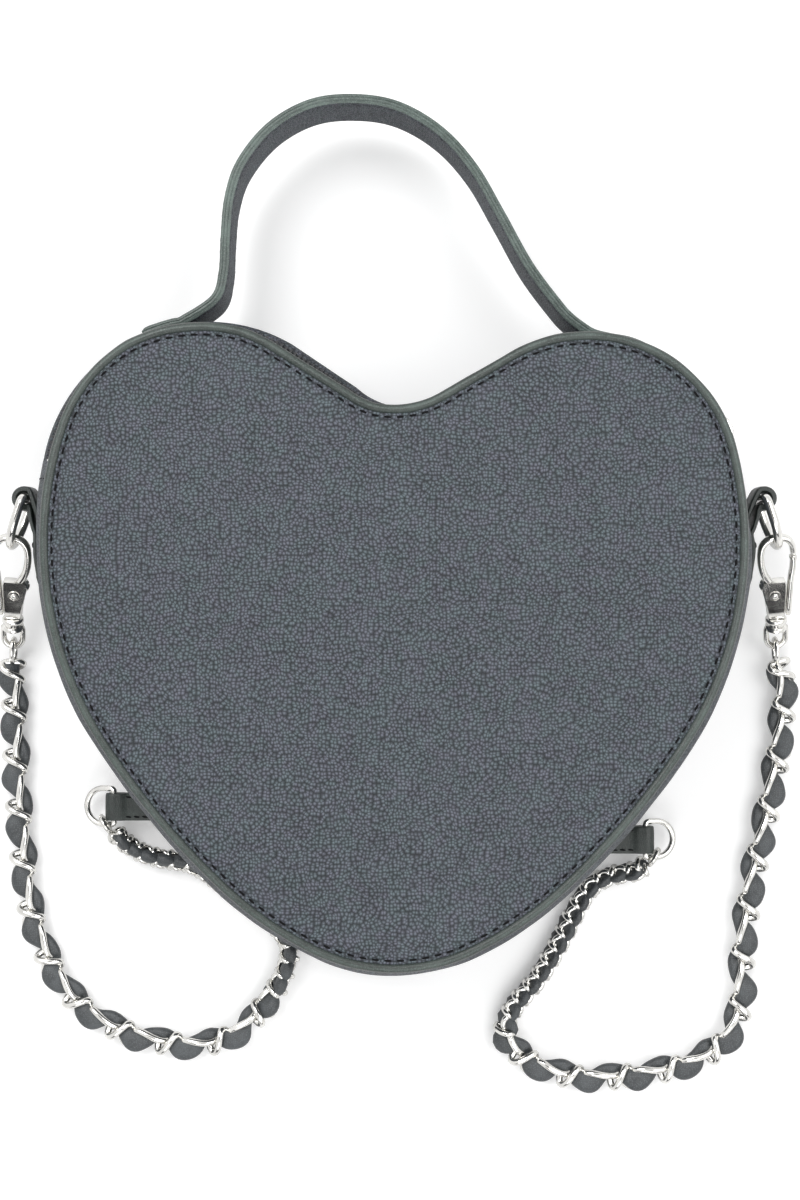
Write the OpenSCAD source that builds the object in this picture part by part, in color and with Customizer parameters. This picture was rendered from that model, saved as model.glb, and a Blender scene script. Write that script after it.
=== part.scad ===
// Heart-shaped top-handle bag with a zipped gusset and two leather-woven chain straps.
// It lies on its back: the back face is at z = 0 and the front faces up.

/* [Heart outline] */
// Height of the cleft above the origin
cleft_y = 72; // [69:0.5:75]
// Radius of the rounded cleft between the lobes
cleft_r = 31; // [28:0.5:34]
// Slope of the outline where it leaves the cleft, in degrees
cleft_slope = 30; // [28:0.5:32]
// Straight run from the cleft to each lobe
cleft_run = 27; // [25:0.5:29]
// Radius of each lobe
lobe_r = 51.5; // [49:0.5:54]
// Radius of each side
side_r = 125; // [120:1:130]
// Radius of each lower flank
flank_r = 263; // [250:1:275]
// Radius of each side of the belly, next to the tip
belly_r = 121; // [115:1:127]

/* [Body] */
// Depth from the back face to the front face
depth = 76; // [72:1:84]
// Diameter of the piping round both faces
piping_d = 4.6; // [4:0.2:5.4]
// Thickness of the padded front and back panels
panel_t = 3; // [2.4:0.2:3.6]
// Thickness of the stiffening boards
board_t = 1.5; // [1:0.1:2]
// Thickness of the gusset leather with its backing
gusset_t = 2.4; // [1.8:0.2:3]
// Thickness of the lining cloth
lining_t = 0.8; // [0.6:0.1:1.2]
// Height of the inner slip pocket
pocket_h = 80; // [60:5:90]
// Width of the inner slip pocket
pocket_w = 110; // [90:5:130]

/* [Crown of the gusset] */
// How far the gusset bulges over the sides, flanks and tip
crown_low = 7; // [5:0.5:9]
// How far it bulges over the left lobe
crown_left_lobe = 8; // [6:0.5:9]
// How far it bulges over the right lobe
crown_right_lobe = 1; // [0.5:0.5:2]
// How far it bulges in the cleft
crown_cleft = 3; // [2:0.5:4]

/* [Zip] */
// Depth of the zip's centre line below the front face
zip_drop = 18; // [17:0.5:19]
// Width of the tape that shows between the leather strips
zip_gap_w = 16; // [14:1:18]
// Width of each row of teeth
tooth_w = 2.1; // [1.8:0.1:2.4]
// Thickness of the rows of teeth
tooth_t = 2; // [1.6:0.2:2.4]
// Thickness of the zip tape
tape_t = 0.8; // [0.6:0.1:1]
// Width of the tape sewn under each leather strip
tape_lap = 4; // [3:0.5:5]
// Length of the slider along the zip
slider_len = 12; // [10:1:14]
// Width of the slider
slider_w = 8.4; // [7.6:0.2:9]
// Length of the slider's pull
pull_len = 20; // [16:1:22]

/* [Handle] */
// Width of the handle strap
handle_w = 28; // [26:1:30]
// Thickness of the handle strap
handle_t = 3.8; // [3.2:0.2:4.4]
// Height of the handle's and the side tabs' centre above the back face
carry_z = 30; // [29:0.5:31]
// Height of the handle above the tops of the lobes
handle_rise = 85; // [78:1:92]
// Distance between the handle's two roots
handle_span = 134; // [130:1:138]

/* [Side tabs and rings] */
// Width of the leather side tabs
tab_w = 15; // [13:1:16]
// Thickness of the tab leather
tab_t = 2.6; // [2:0.2:3]
// Wire diameter of the side rings
ring_wire = 3.2; // [2.8:0.2:3.6]
// Inner width of the side rings
ring_w = 17; // [17:0.5:19]
// Depth of the side rings, between the centres of the wire
ring_len = 17.4; // [16.4:0.2:18.4]

/* [Snap hooks] */
// Width of the hook's eye
eye_w = 8.6; // [8.2:0.2:9.2]
// Length of the hook's eye
eye_len = 13.9; // [13.3:0.2:14.5]
// Width of the metal round the eye
eye_rim = 2.7; // [2.5:0.1:3]
// Thickness of the hook
hook_t = 4.2; // [4:0.1:4.6]
// Length of the hook's solid body
hook_body = 16; // [15:0.5:17]
// Diameter of the gate's pin
pin_d = 2; // [1.8:0.1:2.2]
// Downward tilt of the hooks towards the floor, in degrees
hook_tilt = 30; // [28:1:32]

/* [Lower tabs and rings] */
// Height of the lower tabs' centre above the back face
low_tab_z = 10; // [10:0.5:11]
// Width of the lower tabs
low_tab_w = 10; // [9:0.5:11]
// Reach of the lower tabs from the gusset to the ring's bar
low_tab_len = 22; // [20:0.5:24]
// Wire diameter of the lower rings
low_wire = 2.2; // [2:0.1:2.4]
// Depth of the lower rings, between the centres of the wire
low_ring_len = 11; // [10.5:0.5:12]

/* [Chain straps] */
// Outer width of the leather-woven chain
strap_d = 11; // [10:0.5:11]
// Wire diameter of the links that join the straps to their fittings
link_wire = 1.8; // [1.6:0.1:2]

/* [Hidden] */
$fn = 48;

leather = "#3b3f45";
dark_leather = "#2c2f33";
metal = "#c9cccf";
cloth = "#26282b";

// Clearances: between pieces that are sewn together, and between pieces that move
seam_gap = 0.1;
run_gap = 0.3;
pin_gap = 0.05;
cut = 1;

// Directions of the outline's normal where one arc gives way to the next
lobe_end_angle = 15;
zip_end_angle = 12;
side_end_angle = -33;
flank_end_angle = -47;
belly_end_angle = -65;

function dir(a) = [cos(a), sin(a)];
function arc(c, r, from, to, n) =
    [for (i = [1 : n]) let (a = from + (to - from) * i / n) [c.x + r * cos(a), c.y + r * sin(a), a]];

// The right half of the outline, from the cleft to the tip: place and direction of the normal
slope_n = 90 + cleft_slope;
cleft_top = cleft_y + cleft_r;
lobe_start = [cleft_r * sin(cleft_slope) + cleft_run * cos(cleft_slope),
    cleft_top - cleft_r * cos(cleft_slope) + cleft_run * sin(cleft_slope)];
lobe_c = lobe_start - lobe_r * dir(slope_n);
side_c = lobe_c + (lobe_r - side_r) * dir(lobe_end_angle);
flank_c = side_c + (side_r - flank_r) * dir(side_end_angle);
belly_c = flank_c + (flank_r - belly_r) * dir(flank_end_angle);
tip_start = belly_c + belly_r * dir(belly_end_angle);
tip_r = tip_start.x / cos(belly_end_angle);
tip_c = [0, tip_start.y - tip_r * sin(belly_end_angle)];
cleft_arc = [for (i = [0 : 5]) let (s = cleft_slope * i / 5)
    [cleft_r * sin(s), cleft_top - cleft_r * cos(s), 90 + s]];
cleft_line = [for (i = [1 : 3]) let (p = cleft_arc[5] + (lobe_start.x - cleft_arc[5].x) * i / 3
    * [1, tan(cleft_slope), 0]) p];
half_top = concat(cleft_arc, cleft_line, arc(lobe_c, lobe_r, slope_n, lobe_end_angle, 20),
    arc(side_c, side_r, lobe_end_angle, zip_end_angle, 1));
half_low = concat([half_top[len(half_top) - 1]], arc(side_c, side_r, zip_end_angle, side_end_angle, 15),
    arc(flank_c, flank_r, side_end_angle, flank_end_angle, 8),
    arc(belly_c, belly_r, flank_end_angle, belly_end_angle, 6),
    arc(tip_c, tip_r, belly_end_angle, -90, 5));
last_top = len(half_top) - 1;
last_low = len(half_low) - 1;

// The crown of the gusset at each point, from the cleft at step 0 to the tip
cleft_steps = 8;
lobe_steps = 28;
side_steps = 33;
function crown_at(i, lobe) = lookup(i, [[0, crown_cleft], [cleft_steps, lobe], [lobe_steps, lobe],
    [side_steps, crown_low]]);
function right_run(half, first) =
    [for (i = [0 : len(half) - 1]) [half[i].x, half[i].y, half[i][2],
        crown_at(first + i, crown_right_lobe)]];
function left_run(half, first) =
    [for (i = [len(half) - 1 : -1 : 0]) [-half[i].x, half[i].y, 180 - half[i][2],
        crown_at(first + i, crown_left_lobe)]];
function slice(list, from, to) = [for (i = [from : to]) list[i]];

right_top = right_run(half_top, 0);
left_top = left_run(half_top, 0);
right_low = right_run(half_low, last_top);
left_low = left_run(half_low, last_top);
top_run = concat(left_top, slice(right_top, 1, last_top));
low_run = concat(right_low, slice(left_low, 1, last_low));
whole_run = concat(slice(top_run, 0, 2 * last_top - 1), slice(low_run, 0, 2 * last_low - 1));

function at(p, d) = [p.x + d * cos(p[2]), p.y + d * sin(p[2])];

// Heights through the depth
piping_r = piping_d / 2;
low_z = piping_d + seam_gap;
high_z = depth - low_z;
mid_z = depth / 2;
function bulge(z) = 1 - pow((z - mid_z) / (mid_z - low_z), 2);
gusset_out = -0.2 * piping_d;
gusset_in = gusset_out - gusset_t;
panel_out = -piping_d - seam_gap;
lining_out = gusset_in - seam_gap;
function steps_z(from, to, n) = [for (i = [0 : n]) from + (to - from) * i / n];
function quad(a, b, c, d) = [[a, b, c], [a, c, d]];
function joined(lists) = [for (l = lists) for (f = l) f];

// A wall that follows a run of the outline between two heights, bulging with the gusset
module band(run, heights, inner, outer) {
    n = len(run);
    m = len(heights);
    points = [for (side = [outer, inner]) for (p = run) for (z = heights)
        let (q = at(p, side + p[3] * bulge(z))) [q.x, q.y, z]];
    function o(i, j) = i * m + j;
    function w(i, j) = n * m + o(i, j);
    walls = joined([for (i = [0 : n - 2]) for (j = [0 : m - 2]) concat(
        quad(o(i, j), o(i + 1, j), o(i + 1, j + 1), o(i, j + 1)),
        quad(w(i, j), w(i, j + 1), w(i + 1, j + 1), w(i + 1, j)))]);
    rims = joined([for (i = [0 : n - 2]) concat(
        quad(o(i + 1, 0), o(i, 0), w(i, 0), w(i + 1, 0)),
        quad(o(i, m - 1), o(i + 1, m - 1), w(i + 1, m - 1), w(i, m - 1)))]);
    ends = joined([for (j = [0 : m - 2]) concat(
        quad(o(0, j), o(0, j + 1), w(0, j + 1), w(0, j)),
        quad(o(n - 1, j + 1), o(n - 1, j), w(n - 1, j), w(n - 1, j + 1)))]);
    polyhedron(points, concat(walls, rims, ends));
}

// A flat heart, set in from the outline
module heart(inset, from, to) {
    translate([0, 0, from]) linear_extrude(to - from) polygon([for (p = whole_run) at(p, inset)]);
}

// A round cord of six sides that follows the outline
piping_sides = 6;
module piping(z) {
    n = len(whole_run);
    points = [for (p = whole_run) for (k = [0 : piping_sides - 1])
        let (a = 360 * k / piping_sides + 30, q = at(p, -piping_r + piping_r * cos(a)))
        [q.x, q.y, z + piping_r * sin(a)]];
    function at_side(i, k) = (i % n) * piping_sides + k % piping_sides;
    polyhedron(points, joined([for (i = [0 : n - 1]) for (k = [0 : piping_sides - 1])
        quad(at_side(i, k), at_side(i + 1, k), at_side(i + 1, k + 1), at_side(i, k + 1))]));
}

module front_panel() { color(leather) heart(panel_out, depth - seam_gap - panel_t, depth - seam_gap); }
module back_panel() { color(leather) heart(panel_out, 0, panel_t); }
module front_piping() { color(dark_leather) piping(depth - piping_r); }
module back_piping() { color(dark_leather) piping(piping_r); }
module bottom_gusset() {
    color(leather) band(low_run, steps_z(low_z, high_z, 6), gusset_in, gusset_out);
}

// The top gusset is two leather strips with the zip between them
zip_z = depth - zip_drop;
strip_front_z = zip_z + zip_gap_w / 2;
strip_back_z = zip_z - zip_gap_w / 2;
module top_gusset_front() {
    color(leather) band(top_run, steps_z(strip_front_z, high_z, 1), gusset_in, gusset_out);
}
module top_gusset_back() {
    color(leather) band(top_run, steps_z(low_z, strip_back_z, 5), gusset_in, gusset_out);
}

tape_out = gusset_in - seam_gap;
tape_in = tape_out - tape_t;
slot_w = 1.4;
teeth_half = tooth_w + slot_w / 2;
tape_edge = slot_w / 2 + 0.4 * tooth_w;
module zipper_tape_front() {
    color(cloth) band(top_run, steps_z(zip_z + tape_edge, strip_front_z + tape_lap, 1), tape_in, tape_out);
}
module zipper_tape_back() {
    color(cloth) band(top_run, steps_z(strip_back_z - tape_lap, zip_z - tape_edge, 1), tape_in, tape_out);
}

// Each row of teeth sits on its tape's outer face, with a slot between the rows for the slider's neck
teeth_out = tape_out + seam_gap + tooth_t;
module zipper_teeth_front() {
    color(cloth) band(top_run, steps_z(zip_z + slot_w / 2, zip_z + teeth_half, 1),
        tape_out + seam_gap, teeth_out);
}
module zipper_teeth_back() {
    color(cloth) band(top_run, steps_z(zip_z - teeth_half, zip_z - slot_w / 2, 1),
        tape_out + seam_gap, teeth_out);
}

// A stop across both rows of teeth at each end of the zip
stop_w = 2 * teeth_half;
module zipper_stops() {
    color(metal) for (run = [slice(top_run, 0, 1), slice(top_run, 2 * last_top - 1, 2 * last_top)])
        band(run, steps_z(zip_z - stop_w / 2, zip_z + stop_w / 2, 1), teeth_out + seam_gap,
            teeth_out + seam_gap + tape_t);
}

// The slider rides on the right lobe, whose gusset keeps one radius about the lobe's centre
slider_at = 23;
slider_arc = 360 * slider_len / (2 * PI * lobe_r);
slider_plate = 1.2;
slider_neck = 0.8;
zip_crown = crown_right_lobe * bulge(zip_z);
slider_top = lobe_r + teeth_out + zip_crown + run_gap;
slider_low = lobe_r + tape_in + crown_right_lobe * bulge(zip_z + slider_w / 2) - run_gap;
bridge_h = 4;
bridge_w = 2.4;
bridge_bar = 1.2;
module on_zip(from, to) {
    translate([lobe_c.x, lobe_c.y, zip_z]) rotate([0, 0, from]) rotate_extrude(angle = to - from, $fn = 180)
        children();
}
module zipper_slider() {
    half = slider_arc / 2;
    color(metal) {
        on_zip(slider_at - half, slider_at + half) {
            translate([slider_top, -slider_w / 2]) square([slider_plate, slider_w]);
            translate([slider_low - slider_plate, -slider_w / 2]) square([slider_plate, slider_w]);
        }
        on_zip(slider_at - half / 3, slider_at + half / 3)
            translate([slider_low - slider_plate / 2, -slider_neck / 2])
                square([slider_top - slider_low + slider_plate, slider_neck]);
        for (a = [slider_at - half * 0.6, slider_at + half * 0.4]) on_zip(a, a + half * 0.2)
            translate([slider_top + slider_plate / 2, -bridge_w / 2])
                square([bridge_h - slider_plate / 2, bridge_w]);
        on_zip(slider_at - half * 0.6, slider_at + half * 0.6)
            translate([slider_top + bridge_h - bridge_bar / 2, -bridge_w / 2])
                square([bridge_bar, bridge_w]);
    }
}

// The pull's round bar lies under the bridge, and its plate lies along the zip, bent to the lobe
pull_hole = 5;
pull_w = 6.4;
pull_t = 1;
pull_bar = 1.4;
pull_r = slider_top + (slider_plate + bridge_h - bridge_bar / 2) / 2;
module zipper_pull() {
    color(metal) {
        difference() {
            intersection() {
                on_zip(slider_at, slider_at + 2 * slider_arc + slider_arc * pull_len / slider_len)
                    translate([pull_r - pull_t / 2, -pull_w / 2]) square([pull_t, pull_w]);
                translate([lobe_c.x, lobe_c.y, zip_z]) rotate([0, 90, slider_at])
                    linear_extrude(2 * lobe_r) union() {
                    translate([-pull_w / 2, 0]) square([pull_w, pull_len - pull_w]);
                    translate([0, pull_len - pull_w]) circle(d = pull_w);
                }
            }
            translate([lobe_c.x, lobe_c.y, zip_z]) rotate([0, 90, slider_at])
                translate([-bridge_w / 2 - run_gap, 0, 0])
                    cube([bridge_w + 2 * run_gap, pull_hole, 2 * lobe_r]);
        }
        translate([lobe_c.x, lobe_c.y, zip_z - pull_w / 2]) rotate([0, 0, slider_at])
            translate([pull_r, 0, 0]) cylinder(d = pull_bar, h = pull_w, $fn = 24);
    }
}

// Boards and lining inside the body
board_in = lining_out - lining_t - seam_gap;
front_board_z = depth - seam_gap - panel_t - seam_gap;
back_board_z = panel_t + seam_gap;
module front_board() { color("tan") heart(board_in, front_board_z - board_t, front_board_z); }
module back_board() { color("tan") heart(board_in, back_board_z, back_board_z + board_t); }
lining_low = back_board_z + board_t + seam_gap;
lining_high = front_board_z - board_t - seam_gap;
band_gap = tape_t + 2 * seam_gap;
module lining_band() {
    color(cloth) band(low_run, steps_z(lining_low, lining_high, 4), lining_out - lining_t - band_gap,
        lining_out - band_gap);
}
module lining_top_band() {
    color(cloth) band(top_run, steps_z(lining_low, strip_back_z - tape_lap, 3),
        lining_out - lining_t - band_gap, lining_out - band_gap);
}
lining_in = lining_out - lining_t - band_gap - seam_gap;
module lining_front() { color(cloth) heart(lining_in, lining_high - lining_t, lining_high); }
module lining_back() { color(cloth) heart(lining_in, lining_low, lining_low + lining_t); }
pocket_r = 8;
pocket_y = -40;
module slip_pocket() {
    color(cloth) translate([-pocket_w / 2, pocket_y, lining_low + lining_t + seam_gap])
        linear_extrude(lining_t) union() {
            translate([pocket_r, 0]) square([pocket_w - 2 * pocket_r, pocket_h]);
            translate([0, pocket_r]) square([pocket_w, pocket_h - pocket_r]);
            for (x = [pocket_r, pocket_w - pocket_r]) translate([x, pocket_r]) circle(r = pocket_r);
        }
}

// The handle strap: its middle line as shares of the span and of the rise above the lobes
lobe_top = lobe_c.y + lobe_r;
left_end_r = lobe_r + crown_left_lobe + gusset_out + run_gap + handle_t / 2;
right_end_r = lobe_r + crown_right_lobe + gusset_out + run_gap + handle_t / 2;
arch_shares = [[-0.467, 0.18], [-0.445, 0.29], [-0.44, 0.43], [-0.43, 0.594], [-0.398, 0.741],
    [-0.321, 0.888], [-0.216, 0.98], [-0.1, 1], [0.011, 0.969], [0.119, 0.869], [0.205, 0.72],
    [0.276, 0.528], [0.351, 0.316], [0.429, 0.151], [0.459, 0.1], [0.487, 0.066], [0.517, 0.037]];
arch_points = [for (s = arch_shares) [s.x * handle_span, lobe_top + s.y * handle_rise]];
left_end_points = [for (a = [116, 112, 108, 104.5, 101.5]) [-lobe_c.x, lobe_c.y] + left_end_r * dir(a)];
right_end_points = [for (a = [79, 71.5, 64]) lobe_c + right_end_r * dir(a)];
strap_points = concat(left_end_points, arch_points, right_end_points);

// A smooth line through the points, with four steps between each two
function knot(list, i) = list[max(0, min(len(list) - 1, i))];
function smooth(list) = concat([for (i = [0 : len(list) - 2]) for (k = [0 : 3]) let (t = k / 4,
    a = knot(list, i - 1), b = list[i], c = list[i + 1], d = knot(list, i + 2))
    (2 * b + (c - a) * t + (2 * a - 5 * b + 4 * c - d) * t * t + (3 * b - a - 3 * c + d) * t * t * t) / 2],
    [list[len(list) - 1]]);
strap_line = smooth(strap_points);
function side_of(list, i) = let (v = knot(list, i + 1) - knot(list, i - 1)) [-v.y, v.x] / norm(v);
module strap_layer(inner, outer, w) {
    n = len(strap_line);
    translate([0, 0, carry_z - w / 2]) linear_extrude(w) polygon(concat(
        [for (i = [0 : n - 1]) strap_line[i] + outer * side_of(strap_line, i)],
        [for (i = [n - 1 : -1 : 0]) strap_line[i] + inner * side_of(strap_line, i)]));
}

// The handle leans about a line through its roots, so it parts from them on a cylinder
lean_y = lobe_top + 0.09 * handle_rise;
lean_r = 16;
core_t = 0.8;
module lean_cylinder(r) {
    translate([0, lean_y, carry_z]) rotate([0, 90, 0]) cylinder(r = r, h = 2 * handle_span, center = true);
}
module below_lean() {
    translate([-handle_span, 0, carry_z - handle_w]) cube([2 * handle_span, lean_y, 2 * handle_w]);
}
module moving_layer(inner, outer, w) {
    difference() {
        strap_layer(inner, outer, w);
        lean_cylinder(lean_r + run_gap);
        below_lean();
    }
}
module handle_outer() { color(leather) moving_layer(core_t / 2 + seam_gap / 2, handle_t / 2, handle_w); }
module handle_core() { color("tan") moving_layer(-core_t / 2, core_t / 2, handle_w - 2 * handle_t); }
module handle_lining() { color(leather) moving_layer(-handle_t / 2, -core_t / 2 - seam_gap / 2, handle_w); }
module handle_root(side) {
    color(leather) intersection() {
        strap_layer(-handle_t / 2, handle_t / 2, handle_w);
        union() {
            lean_cylinder(lean_r);
            below_lean();
        }
        translate([side > 0 ? 0 : -handle_span, 0, 0]) cube([handle_span, 2 * lobe_top, depth]);
    }
}
module left_handle_root() { handle_root(-1); }
module right_handle_root() { handle_root(1); }

// A ring with a straight bar along Z at the origin, reaching along -Y
module bar_ring(inner_w, len, wire) {
    r = wire / 2;
    half = inner_w / 2 + r;
    leg = len - half;
    cylinder(r = r, h = 2 * half, center = true);
    for (z = [-half, half]) translate([0, 0, z]) {
        sphere(r = r);
        rotate([90, 0, 0]) cylinder(r = r, h = leg);
    }
    translate([0, -leg, 0]) rotate([0, 90, 0]) rotate([0, 0, 180]) rotate_extrude(angle = 180, $fn = 64)
        translate([half, 0]) circle(r = r, $fn = 24);
}

// The side tabs: a strip sewn down the gusset and a loop round the ring's bar
tab_start_steps = 2;
tab_end_steps = 9;
loop_reach = 12.55;
loop_rise = 3.4;
loop_x = half_low[tab_start_steps].x + loop_reach;
loop_y = half_low[tab_start_steps].y + loop_rise;
ring_lean = 18.4;
loop_in = ring_wire / 2 + run_gap;
loop_out = loop_in + tab_t;
bridge_y = 3.4;
module side_tab(low) {
    tail = slice(low, tab_start_steps, tab_end_steps);
    top = at(tail[0], gusset_out + seam_gap + tail[0][3] * bulge(carry_z));
    band(tail, steps_z(carry_z - tab_w / 2, carry_z + tab_w / 2, 2), gusset_out + seam_gap,
        gusset_out + seam_gap + tab_t);
    translate([0, 0, carry_z - tab_w / 2]) linear_extrude(tab_w) difference() {
        union() {
            translate([loop_x, loop_y]) circle(r = loop_out);
            polygon([[top.x + tab_t / 2, top.y - tab_t], [loop_x, loop_y - loop_out], [loop_x, loop_y],
                [top.x + tab_t, top.y + bridge_y], [top.x + tab_t / 2, top.y]]);
        }
        translate([loop_x, loop_y]) circle(r = loop_in);
    }
}
module right_ring_place() { translate([loop_x, loop_y, carry_z]) rotate([0, 0, ring_lean]) children(); }
module left() { mirror([1, 0, 0]) children(); }
left_low_mirrored = [for (i = [0 : last_low])
    [half_low[i].x, half_low[i].y, half_low[i][2], crown_at(last_top + i, crown_left_lobe)]];
module right_side_tab() { color(dark_leather) side_tab(right_low); }
module left_side_tab() { color(dark_leather) left() side_tab(left_low_mirrored); }
module right_ring() { color(metal) right_ring_place() bar_ring(ring_w, ring_len, ring_wire); }
module left_ring() { color(metal) left() right_ring_place() bar_ring(ring_w, ring_len, ring_wire); }

// The snap hook, drawn with the ring's wire at its origin, its eye in the XY plane and its tail along -Y
hook_lean = 5;
eye_r = eye_w / 2;
eye_top = ring_wire / 2 + 4 * run_gap;
eye_c = eye_top - eye_r;
eye_low = eye_top - eye_len + eye_r;
hook_r = eye_r + eye_rim;
body_top = eye_low - eye_r;
body_low = body_top - hook_body;
tail_half = 3.6;
gate_x = 2.6;
gate_y = body_top - 4.4;
nose_y = eye_c - 1.2;
gate_reach = norm([hook_r - gate_x, nose_y - run_gap - gate_y]) + run_gap;
arm_low = body_top + 1.6;
slot_t = 2.6;
boss_r = 3.4;
boss_len = 5.4;
shank_r = 1.6;
head_r = 2.3;
head_t = 1.4;
lip_t = 1.8;
module hook_place() {
    right_ring_place() translate([0, -ring_len, 0]) rotate([0, 0, hook_lean - ring_lean])
        rotate([hook_tilt, 0, 0]) children();
}
module hook() {
    difference() {
        union() {
            translate([0, 0, -hook_t / 2]) linear_extrude(hook_t) difference() {
                union() {
                    translate([0, eye_c]) circle(r = hook_r);
                    translate([-hook_r, eye_low]) square([2 * hook_r, eye_c - eye_low]);
                    polygon([[-hook_r, eye_low], [hook_r, eye_low], [eye_r, body_top - eye_rim / 2],
                        [tail_half * 0.7, body_low], [-tail_half, body_low],
                        [-hook_r + eye_rim / 3, body_top]]);
                }
                translate([0, eye_c]) circle(r = eye_r);
                translate([-eye_r, eye_low]) square([eye_w, eye_c - eye_low]);
                translate([0, eye_low]) circle(r = eye_r);
                // The gate's way between the nose and the body
                intersection() {
                    translate([eye_r - run_gap, body_top - eye_rim / 2])
                        square([hook_r, nose_y + 2 * eye_rim - body_top]);
                    translate([gate_x, gate_y]) circle(r = gate_reach);
                }
                difference() {
                    translate([0, body_top]) square([hook_r, eye_r]);
                    translate([gate_x, gate_y]) circle(r = arm_low - gate_y - run_gap);
                }
            }
            translate([0, body_low + boss_len, 0]) rotate([90, 0, 0]) cylinder(r = boss_r, h = boss_len);
        }
        // The eye is eased where the ring's wire crosses it aslant
        rotate([-hook_tilt, 0, 0]) cylinder(r = eye_top, h = 3 * hook_t, center = true);
        translate([gate_x - 2 * hub_r, body_low + boss_len, -slot_t / 2])
            cube([hook_r + cut, body_top + eye_r - body_low - boss_len, slot_t]);
        translate([gate_x, gate_y, 0]) cylinder(d = pin_d + pin_gap, h = hook_t + cut, center = true);
        translate([0, body_low + lip_t + head_t / 2, 0]) rotate([90, 0, 0])
            cylinder(r = shank_r + pin_gap, h = lip_t + head_t / 2 + cut);
        translate([0, body_low + lip_t + head_t + 2 * pin_gap, 0]) rotate([90, 0, 0])
            cylinder(r = head_r + pin_gap, h = head_t + 2 * pin_gap);
    }
}

// The gate closes the eye between the hook's nose and its body, and its lever lies along the body
gate_t = hook_t - 2 * run_gap;
hub_r = 2.2;
hub_t = 1;
lever_low = body_low + boss_len + run_gap;
hub_z = -slot_t / 2 + run_gap;
module gate() {
    difference() {
        union() {
            translate([0, 0, -gate_t / 2]) linear_extrude(gate_t)
                polygon([[eye_r, arm_low], [eye_r, nose_y - run_gap], [hook_r, nose_y - run_gap],
                    [hook_r, arm_low]]);
            translate([0, 0, -gate_t / 2]) linear_extrude(gate_t)
                polygon([[eye_r + run_gap, gate_y], [hook_r, gate_y], [hook_r + eye_rim / 3, gate_y - hub_r],
                    [eye_r + run_gap, lever_low], [tail_half, lever_low],
                    [eye_r - run_gap / 2, gate_y - hub_r]]);
            translate([0, 0, hub_z]) linear_extrude(hub_t) union() {
                translate([gate_x, gate_y]) circle(r = hub_r);
                polygon([[gate_x, gate_y - hub_r], [hook_r, gate_y - hub_r],
                    [hook_r, arm_low + eye_rim / 2], [eye_r, arm_low + eye_rim / 2],
                    [gate_x, gate_y + hub_r]]);
            }
        }
        translate([gate_x, gate_y, 0]) cylinder(d = pin_d + 2 * pin_gap, h = hook_t + cut, center = true);
    }
}
rivet_r = 1.6;
rivet_t = 0.4;
module gate_pin() {
    translate([gate_x, gate_y, 0]) {
        cylinder(d = pin_d, h = hook_t + rivet_t, center = true);
        for (s = [-1, 1]) translate([0, 0, s * (hook_t + rivet_t) / 2])
            cylinder(r = rivet_r, h = rivet_t, center = true);
    }
}
spring_t = 0.6;
module gate_spring() {
    translate([gate_x, gate_y, hub_z + hub_t + run_gap]) linear_extrude(spring_t) difference() {
        circle(r = pin_d / 2 + pin_gap + spring_t);
        circle(r = pin_d / 2 + pin_gap);
    }
}

// The swivel turns in the hook's boss and ends in a round eye for the strap's first link
yoke_half = 3.4;
yoke_wire = 2.2;
yoke_len = 5;
collar_t = 1.6;
collar_y = body_low - run_gap;
yoke_c = collar_y - collar_t - yoke_len;
module swivel() {
    translate([0, body_low + lip_t + head_t + pin_gap, 0]) rotate([90, 0, 0])
        cylinder(r = head_r, h = head_t);
    translate([0, body_low + lip_t + pin_gap + cut / 4, 0]) rotate([90, 0, 0])
        cylinder(r = shank_r, h = lip_t + pin_gap + run_gap + cut / 2);
    translate([0, collar_y, 0]) rotate([90, 0, 0]) cylinder(r = yoke_half + 0.7 * yoke_wire, h = collar_t);
    for (x = [-yoke_half, yoke_half]) translate([x, collar_y - collar_t / 2, 0]) rotate([90, 0, 0])
        cylinder(d = yoke_wire, h = yoke_len + collar_t / 2, $fn = 24);
    translate([0, yoke_c, 0]) rotate([0, 0, 180]) rotate_extrude(angle = 180) translate([yoke_half, 0])
        circle(d = yoke_wire, $fn = 24);
}
link_r = 3.6;
link_c = yoke_c - yoke_half + yoke_wire / 2 + link_wire / 2 + 4 * run_gap - link_r;
module top_link() {
    translate([0, link_c, 0]) rotate([0, 90, 0]) rotate_extrude() translate([link_r, 0])
        circle(d = link_wire, $fn = 24);
}
module right_hook() { color(metal) hook_place() hook(); }
module left_hook() { color(metal) left() hook_place() hook(); }
module right_gate() { color(metal) hook_place() gate(); }
module left_gate() { color(metal) left() hook_place() gate(); }
module right_gate_pin() { color(metal) hook_place() gate_pin(); }
module left_gate_pin() { color(metal) left() hook_place() gate_pin(); }
module right_gate_spring() { color(metal) hook_place() gate_spring(); }
module left_gate_spring() { color(metal) left() hook_place() gate_spring(); }
module right_swivel() { color(metal) hook_place() swivel(); }
module left_swivel() { color(metal) left() hook_place() swivel(); }
module right_top_link() { color(metal) hook_place() top_link(); }
module left_top_link() { color(metal) left() hook_place() top_link(); }

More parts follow.
